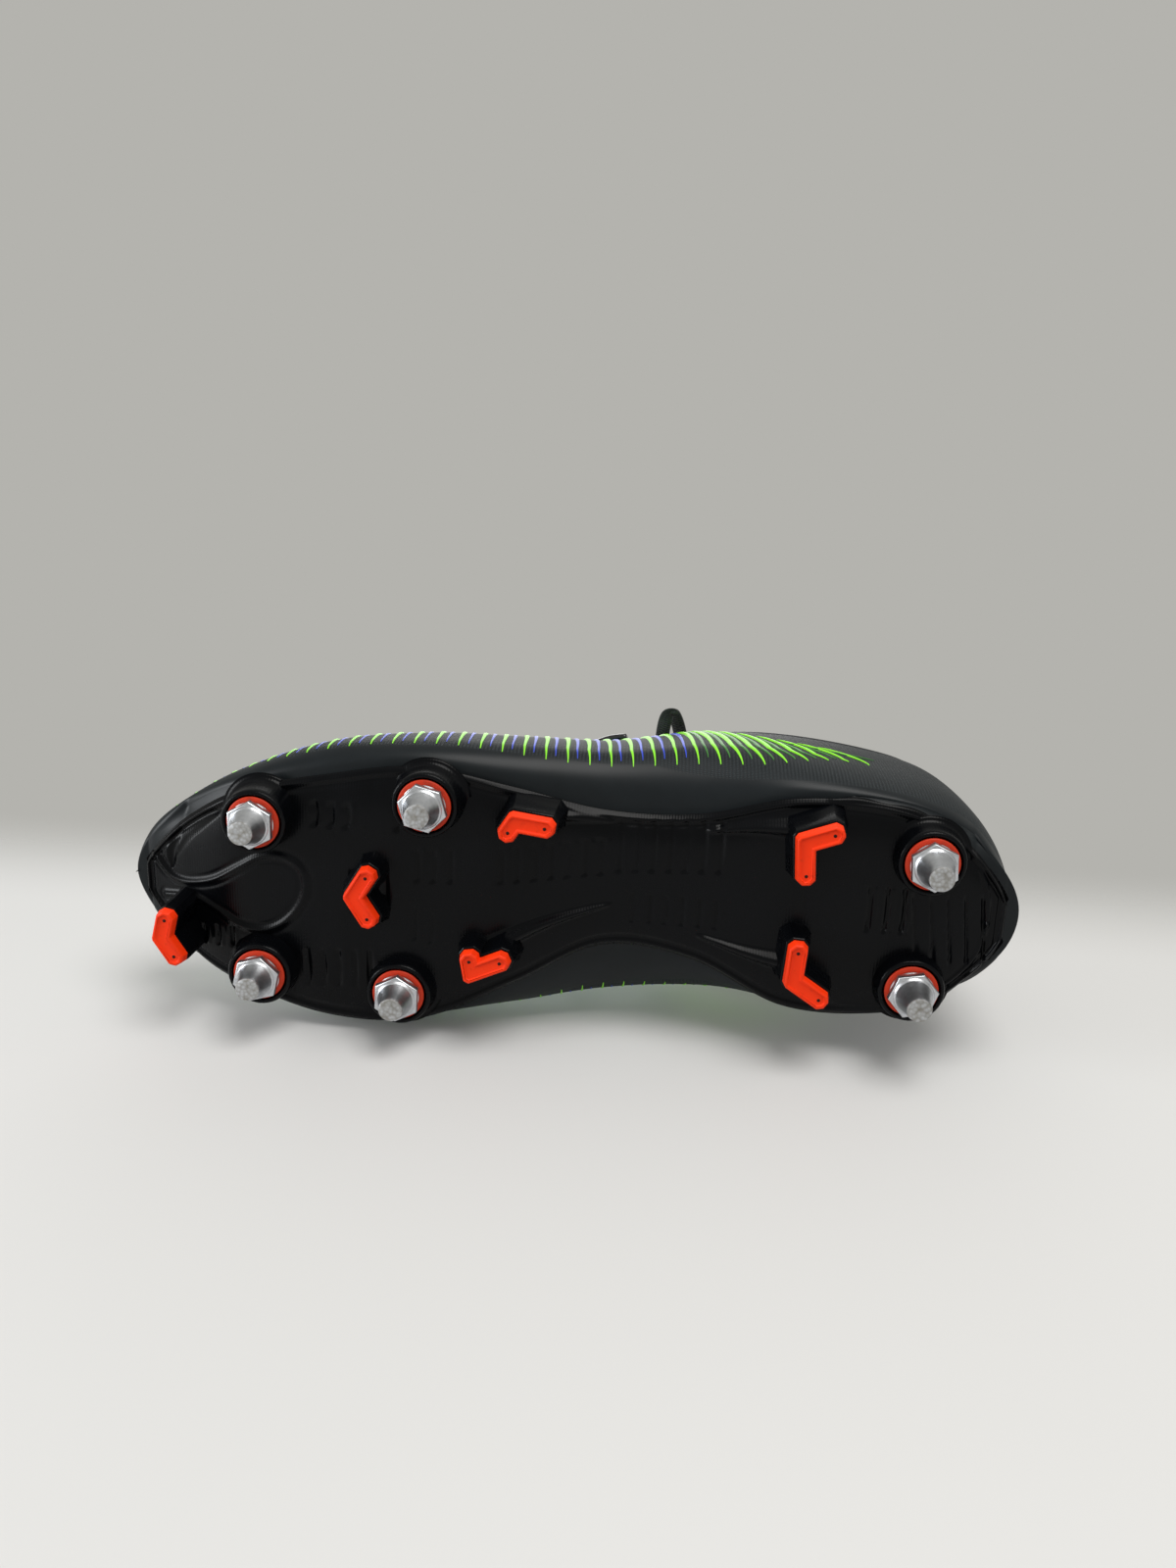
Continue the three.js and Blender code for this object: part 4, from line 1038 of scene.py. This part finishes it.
# ---------------------------------------------------------------- collar lining and binding
# Foam behind a brushed knit, plump round the ankle, sewn under a bound edge at the topline.
def brushed_knit_gap_shade(name, low, high, pitch=1.4):
    look, tree, shader = new_material(name, Roughness=0.9, Sheen_Weight=0.3, Sheen_Roughness=0.5)
    place = add(tree, "ShaderNodeUVMap", uv_map="run")
    loops = add(tree, "ShaderNodeTexVoronoi", {"Vector": place.outputs[0], "Scale": 1 / pitch,
                                               "Randomness": 0.25})
    fuzz = add(tree, "ShaderNodeTexNoise", {"Vector": place.outputs[0], "Scale": 2.4, "Detail": 5.0})
    depth = add(tree, "ShaderNodeMath", {0: loops.outputs["Distance"], 1: fuzz.outputs["Fac"]},
                operation="MULTIPLY")
    # The colour darkens with the depth between the knit's loops: painted shade in the gaps.
    colour = mixed(tree, depth.outputs[0], linear(high), linear(low))
    tree.links.new(colour, shader.inputs["Base Color"])
    bumped(tree, shader, depth.outputs[0], 0.7, 0.3)
    return look


knit = brushed_knit_gap_shade("brushed_knit_gap_shade", "#0d0e10", "#2a2d31")
LINING_START = walk_at(38)


def plump(walk, v):
    swell_up = math.sin(math.pi * clamp(0.12 + v * 0.88)) ** 0.7
    return 1.0 + 3.0 * swell_up * ease(walk, LINING_START, LINING_START + 0.12)


lining_sides = []
for side in (1, -1):
    grid = side_grid(side, 1.9, 0.97, 120, 40, LINING_START, plump, 0.6)
    bmesh.ops.reverse_faces(grid, faces=grid.faces)
    lining_sides.append(grid)
lining = joined("collar_padding", lining_sides, knit)
weld(lining, 0.3, outwards=False)
foam = lining.modifiers.new("foam", "SOLIDIFY")
foam.thickness = 0.9 * MM
foam.offset = -1
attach(lining, "boot")
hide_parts("collar_lining")

topline_path = []
collar_steps = 90
for side, order in ((1, 1), (-1, -1)):
    walks = [walk_at(22) + (1 - walk_at(22)) * k / collar_steps for k in range(collar_steps + 1)]
    for walk in walks[::order]:
        topline_path.append(upper_point(walk, side * top_across(walk, side), 0.9))
binding_line = [p for k, p in enumerate(topline_path)
                if k == 0 or (p - topline_path[k - 1]).length > 0.3]


def rolled_leather(name, colour, shade):
    look, tree, shader = new_material(name, Roughness=0.55)
    place = add(tree, "ShaderNodeTexCoord")
    grain = add(tree, "ShaderNodeTexVoronoi", {"Vector": place.outputs["Object"],
                                               "Scale": 1 / (1.0 * MM)})
    tint = mixed(tree, grain.outputs["Distance"], linear(colour), linear(shade))
    tree.links.new(tint, shader.inputs["Base Color"])
    bumped(tree, shader, grain.outputs["Distance"], 0.35, 0.12)
    return look


edge_leather = rolled_leather("edge_leather", "#101214", "#1d2023")
binding = to_scene("collar_binding", tape(
    binding_line, 3.4, 2.6, lambda p: Vector((p.x - 3, (p.y - 80) * 0.5, 6)), 14), edge_leather)
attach(binding, "boot")


# ---------------------------------------------------------------- sockliner
# A moulded foam footbed with a knitted cover lies loose on the insole board.
def sock_place(u, v):
    walk = 0.06 + 0.9 * u
    edge_out, edge_in, *_ = section(walk)
    y = y_at(walk, 6)
    x = edge_in + 4.5 + (edge_out - edge_in - 9) * v
    rise = 11.9 + 1.6 * (2 * abs(v - 0.5)) ** 4
    return x, y, plate_z(x, y_at(walk, PLATE_INSET)) + rise


# The footbed's knit cover has the same painted shade between its loops.
footbed = to_scene("footbed", wrapped(120, 30, sock_place, lambda u, v: (u * 260, v * 80)),
                   brushed_knit_gap_shade("footbed_knit_gap_shade", "#111316", "#33373c", 1.8))
foam = footbed.modifiers.new("foam", "SOLIDIFY")
foam.thickness = 3.4 * MM
foam.offset = -1
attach(footbed, "boot")
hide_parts("sockliner")


# ---------------------------------------------------------------- tongue
# A padded tongue sewn in at the front of the throat, its back free.
TONGUE_INSET = 6.6
TONGUE_FRONT, TONGUE_BACK = THROAT_FRONT - 12, 0.34 * HALF_LENGTH


def skin_z(x, y, inset):
    walk = walk_at(y, inset)
    _, _, bulge_out, bulge_in, _, belly, top, ridge = section(walk)
    side = inset * math.sin(math.pi * walk) ** 0.5
    reach = (bulge_out - side - ridge) if x > ridge else (ridge - bulge_in - side)
    across = min(abs(x - ridge) / reach, 1)
    return belly + (top - inset - belly) * (1 - across ** (2 / SHOULDER)) ** (SHOULDER / 2)


def tongue_place(u, v):
    y = TONGUE_FRONT + (TONGUE_BACK - TONGUE_FRONT) * u
    half = throat_half(clamp(y, THROAT_FRONT, THROAT_BACK)) + 6
    half *= 1 - 0.35 * ease(u, 0.86, 1.0) ** 2
    angle = 2 * math.pi * v
    across = math.copysign(abs(math.cos(angle)) ** 0.6, math.cos(angle))
    x = ridge_x(y) + half * across
    ribbed = 0.35 * math.sin(math.pi * clamp((y - TONGUE_FRONT) / 9 % 1)) ** 0.5
    full = (1.35 + ribbed) * min(1, 9 * (1 - u) + 0.25) * min(1, 14 * u + 0.2)
    return x, y, skin_z(x, y, TONGUE_INSET + 1.5) + full * math.sin(angle)


tongue = to_scene("tongue_padding", wrapped(
    130, 40, tongue_place, lambda u, v: (u * 110, v * 60), closed=True), knit)
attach(tongue, "tongue")
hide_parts("tongue")


# ---------------------------------------------------------------- eyestays
# A firm facing sewn along each side of the throat, with five punched and ringed holes.
EYELET_EDGE = 5.5
EYELETS = 5
eyelet_ys = [THROAT_FRONT + 9 + (THROAT_BACK - THROAT_FRONT - 15) * k / (EYELETS - 1)
             for k in range(EYELETS)]


def eyelet_place(k, side, lift):
    y = eyelet_ys[k]
    x = ridge_x(y) + side * (throat_half(y) + EYELET_EDGE)
    return Vector((x, y, skin_z(x, y, -lift)))


def facing_normal(x, y):
    slope_x = (skin_z(x + 0.5, y, 0) - skin_z(x - 0.5, y, 0))
    slope_y = (skin_z(x, y + 0.5, 0) - skin_z(x, y - 0.5, 0))
    return Vector((-slope_x, -slope_y, 1)).normalized()


stitches = []
rings = []
for side in (1, -1):
    def facing_place(u, v, side=side):
        y = THROAT_FRONT + 1 + (THROAT_BACK - THROAT_FRONT - 2) * u
        x = ridge_x(y) + side * (throat_half(y) + 0.4 + 10.2 * v)
        rounded = 1 - (2 * v - 1) ** 8
        return x, y, skin_z(x, y, -0.1) + 1.15 * rounded ** 0.5

    grid = wrapped(90, 16, facing_place, lambda u, v: (u * 80, 30 + v * 12))
    if side < 0:
        bmesh.ops.reverse_faces(grid, faces=grid.faces)
    facing = to_scene("eyestay_facing_" + (LATERAL if side > 0 else MEDIAL), grid, edge_leather)
    backing = facing.modifiers.new("backing", "SOLIDIFY")
    backing.thickness = 0.6 * MM
    backing.offset = -1
    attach(facing, "boot")
    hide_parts("eyestay_" + (LATERAL if side > 0 else MEDIAL))
    for row in (1.8, 9.0):
        y = THROAT_FRONT + 2.5
        while y < THROAT_BACK - 3:
            x = ridge_x(y) + side * (throat_half(y) + row)
            bm = bmesh.new()
            bmesh.ops.create_icosphere(bm, subdivisions=1, radius=1)
            bmesh.ops.scale(bm, vec=(0.3 * MM, 0.85 * MM, 0.22 * MM), verts=bm.verts)
            bmesh.ops.translate(bm, vec=Vector((x, y, skin_z(x, y, -0.1) + 1.2)) * MM, verts=bm.verts)
            stitches.append(bm)
            y += 2.4
    for k in range(EYELETS):
        centre = eyelet_place(k, side, 1.1)
        ring = turned([(1.9, -0.4), (1.95, 0.25), (2.3, 0.5), (2.8, 0.35), (3.0, 0.0), (2.9, -0.4),
                       (1.9, -0.4)], 0, 0, 28)
        tilt = Vector((0, 0, 1)).rotation_difference(facing_normal(centre.x, centre.y)).to_matrix()
        placed = Matrix.Translation(centre * MM) @ tilt.to_4x4()
        bmesh.ops.transform(ring, matrix=placed, verts=ring.verts)
        rings.append(ring)
thread = new_material("polyester_thread", Roughness=0.6, Base_Color=linear("#3a4044"))[0]
seams = joined("eyestay_stitching", stitches, thread)
ring_paint = new_material("enamelled_brass", Roughness=0.35, Base_Color=linear("#0c0d0f"),
                          Coat_Weight=0.4)[0]
eyelet_rings = joined("eyelet_rings", rings, ring_paint)
for piece in (seams, eyelet_rings):
    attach(piece, "boot")


# ---------------------------------------------------------------- lace through the eyelets
# The held part of the lace: a bar across the lowest pair of eyelets, then crosses up the
# tongue, each dipping into its hole, and the top pair running in to the knot.
def strand(start, finish, start_side, finish_side, over):
    a, b = eyelet_place(start, start_side, 1.1), eyelet_place(finish, finish_side, 1.1)
    inward = Vector((1, 0, 0))
    middle = (a + b) / 2
    middle.z = max(a.z, b.z) + (1.9 if over else 0.3)
    return smooth_line([
        a - Vector((0, 0, 2.4)), a + Vector((0, 0, 0.9)) - inward * 0.9 * start_side,
        a.lerp(b, 0.22) + Vector((0, 0, 1.7)), middle,
        a.lerp(b, 0.78) + Vector((0, 0, 1.7)), b + Vector((0, 0, 0.9)) - inward * 0.9 * finish_side,
        b - Vector((0, 0, 2.4))], 7)


strands = [strand(0, 0, 1, -1, False)]
for k in range(EYELETS - 1):
    strands.append(strand(k, k + 1, 1, -1, k % 2 == 0))
    strands.append(strand(k, k + 1, -1, 1, k % 2 == 1))
knot_low, knot_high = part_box("lace_knot")
knot_centre = (knot_low + knot_high) / 2 / MM
for side in (1, -1):
    top = eyelet_place(EYELETS - 1, side, 1.1)
    strands.append(smooth_line([
        top - Vector((0, 0, 2.4)), top + Vector((-0.9 * side, 0.3, 1.2)),
        top.lerp(knot_centre, 0.5) + Vector((0, 0, 0.6)),
        knot_centre + Vector((3.0 * side, -1.5, -0.8)), knot_centre + Vector((0.5 * side, 0, 0))], 7))


def away_from_tongue(p):
    return Vector((p.x - 4, 0, p.z - 40))


held = joined("lace_crossings", [tape(line, LACE_WIDE, LACE_THICK, away_from_tongue)
                                 for line in strands], lace_weave)
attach(held, "boot")
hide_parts("lace_through_eyelets")

# The knot: two turns of the tape drawn tight round each other.
knot_size = (knot_high - knot_low) / 2 / MM


def turn_line(tilt, wide, tall):
    spin = Matrix.Rotation(tilt, 3, "Z")
    points = []
    for k in range(13):
        angle = math.tau * k / 12
        points.append(knot_centre + spin @ Vector((wide * math.cos(angle) * 0.55,
                                                   1.2 * math.sin(2 * angle) * 0.3,
                                                   tall * math.sin(angle))))
    return smooth_line(points, 4)


def away_from_knot(p):
    return p - knot_centre


knot = joined("lace_knot_turns", [
    tape(turn_line(0.25, knot_size.x * 1.3, knot_size.z * 0.86), 4.6, 1.3, away_from_knot),
    tape(turn_line(1.1, knot_size.y * 1.2, knot_size.z * 0.62), 4.0, 1.3, away_from_knot),
    tape(turn_line(-0.55, knot_size.x * 1.1, knot_size.z * 0.55), 5.0, 1.2, away_from_knot),
], lace_weave)
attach(knot, "boot")
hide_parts("lace_knot")


# ---------------------------------------------------------------- hidden stiffeners
# Fibre board under the foot, and thermoplastic sheet at heel and toe, behind the skin; all three are
# given the pressed fibre finish.
def pressed_fibre():
    look, tree, shader = new_material("pressed_fibre", Roughness=0.9)
    place = add(tree, "ShaderNodeTexCoord")
    fibre = add(tree, "ShaderNodeTexNoise", {"Vector": place.outputs["Object"], "Scale": 300.0,
                                             "Detail": 6.0, "Distortion": 1.5})
    tint = mixed(tree, fibre.outputs["Fac"], linear("#2b2622"), linear("#4d463f"))
    tree.links.new(tint, shader.inputs["Base Color"])
    bumped(tree, shader, fibre.outputs["Fac"], 0.4, 0.1)
    return look


fibre = pressed_fibre()
for node in ("insole_board", "heel_counter", "toe_puff"):
    give(node, fibre)


# ---------------------------------------------------------------- floor, backdrop and light
# Pale paper under the boot's inner side, and level ground under the studs that shows only
# from above. Both fade out with distance into a plain grey room.
def paper(name, colour, measure, kept, gone):
    look, tree, shader = new_material(name, Roughness=0.55, Base_Color=linear(colour))
    place = add(tree, "ShaderNodeTexCoord")
    reach = measure(tree, place.outputs["Object"])
    fade = add(tree, "ShaderNodeMapRange", {"Value": reach, "From Min": kept * MM,
                                            "From Max": gone * MM}, interpolation_type="SMOOTHSTEP")
    facing = add(tree, "ShaderNodeNewGeometry")
    hidden = add(tree, "ShaderNodeMath", {0: facing.outputs["Backfacing"], 1: fade.outputs[0]},
                 operation="MAXIMUM")
    clear = add(tree, "ShaderNodeBsdfTransparent")
    mix = add(tree, "ShaderNodeMixShader", {0: hidden.outputs[0], 1: shader.outputs[0],
                                            2: clear.outputs[0]})
    tree.links.new(mix.outputs[0], tree.nodes["Material Output"].inputs["Surface"])
    return look


def height_of(tree, place):
    return add(tree, "ShaderNodeSeparateXYZ", {"Vector": place}).outputs["Z"]


def distance_of(tree, place):
    return add(tree, "ShaderNodeVectorMath", {0: place}, operation="LENGTH").outputs["Value"]


PAPER_X = cad_low.x / MM - 3
PAPER_LOW, PAPER_HIGH = -1600, 260


def paper_place(u, v):
    return PAPER_X, (v - 0.5) * 4000, PAPER_LOW + (PAPER_HIGH - PAPER_LOW) * u


def stage_piece(name, bm, look, towards):
    piece = to_scene(name, bm, look)
    if piece.data.polygons[0].normal.dot(towards) < 0:
        piece.data.flip_normals()
    piece.visible_shadow = False
    return piece


floor = stage_piece("paper_floor", wrapped(3, 3, paper_place),
            paper("white_paper", "#d9d9d9", height_of, 110, 230), Vector((1, 0, 0)))
floor.visible_diffuse = False


def ground_place(u, v):
    return (u - 0.5) * 3000, (v - 0.5) * 3000, -0.05


ground = stage_piece("level_ground", wrapped(3, 3, ground_place),
                     paper("pale_ground", "#cfcfcf", distance_of, 350, 900), Vector((0, 0, 1)))
ground.visible_diffuse = False
ground.visible_glossy = False


def soft_light(name, place, aim, size, watts, colour=(1, 1, 1)):
    data = bpy.data.lights.new(name, "AREA")
    data.shape = "DISK"
    data.size = size
    data.energy = watts
    data.color = colour
    light = bpy.data.objects.new(name, data)
    bpy.context.scene.collection.objects.link(light)
    start = Vector(place)
    light.matrix_world = (Matrix.Translation(start)
                          @ (Vector(aim) - start).to_track_quat("-Z", "Y").to_matrix().to_4x4())


soft_light("ceiling_light", (0.95, 0.25, -0.25), (0, 0, 0.02), 0.7, 7.5, (1.0, 0.985, 0.96))
soft_light("window_light", (0.2, -0.95, -0.32), (0, 0, 0.02), 0.4, 5, (0.94, 0.97, 1.0))
soft_light("sky_light", (0.25, -0.1, 1.1), (0, 0, 0.05), 0.8, 3)
world = bpy.data.worlds.new("pale_room")
bpy.context.scene.world = world
world.use_nodes = True
world.node_tree.nodes["Background"].inputs["Color"].default_value = linear("#b4b3ae")
world.node_tree.nodes["Background"].inputs["Strength"].default_value = 1.0
bpy.context.scene.view_settings.view_transform = "Standard"
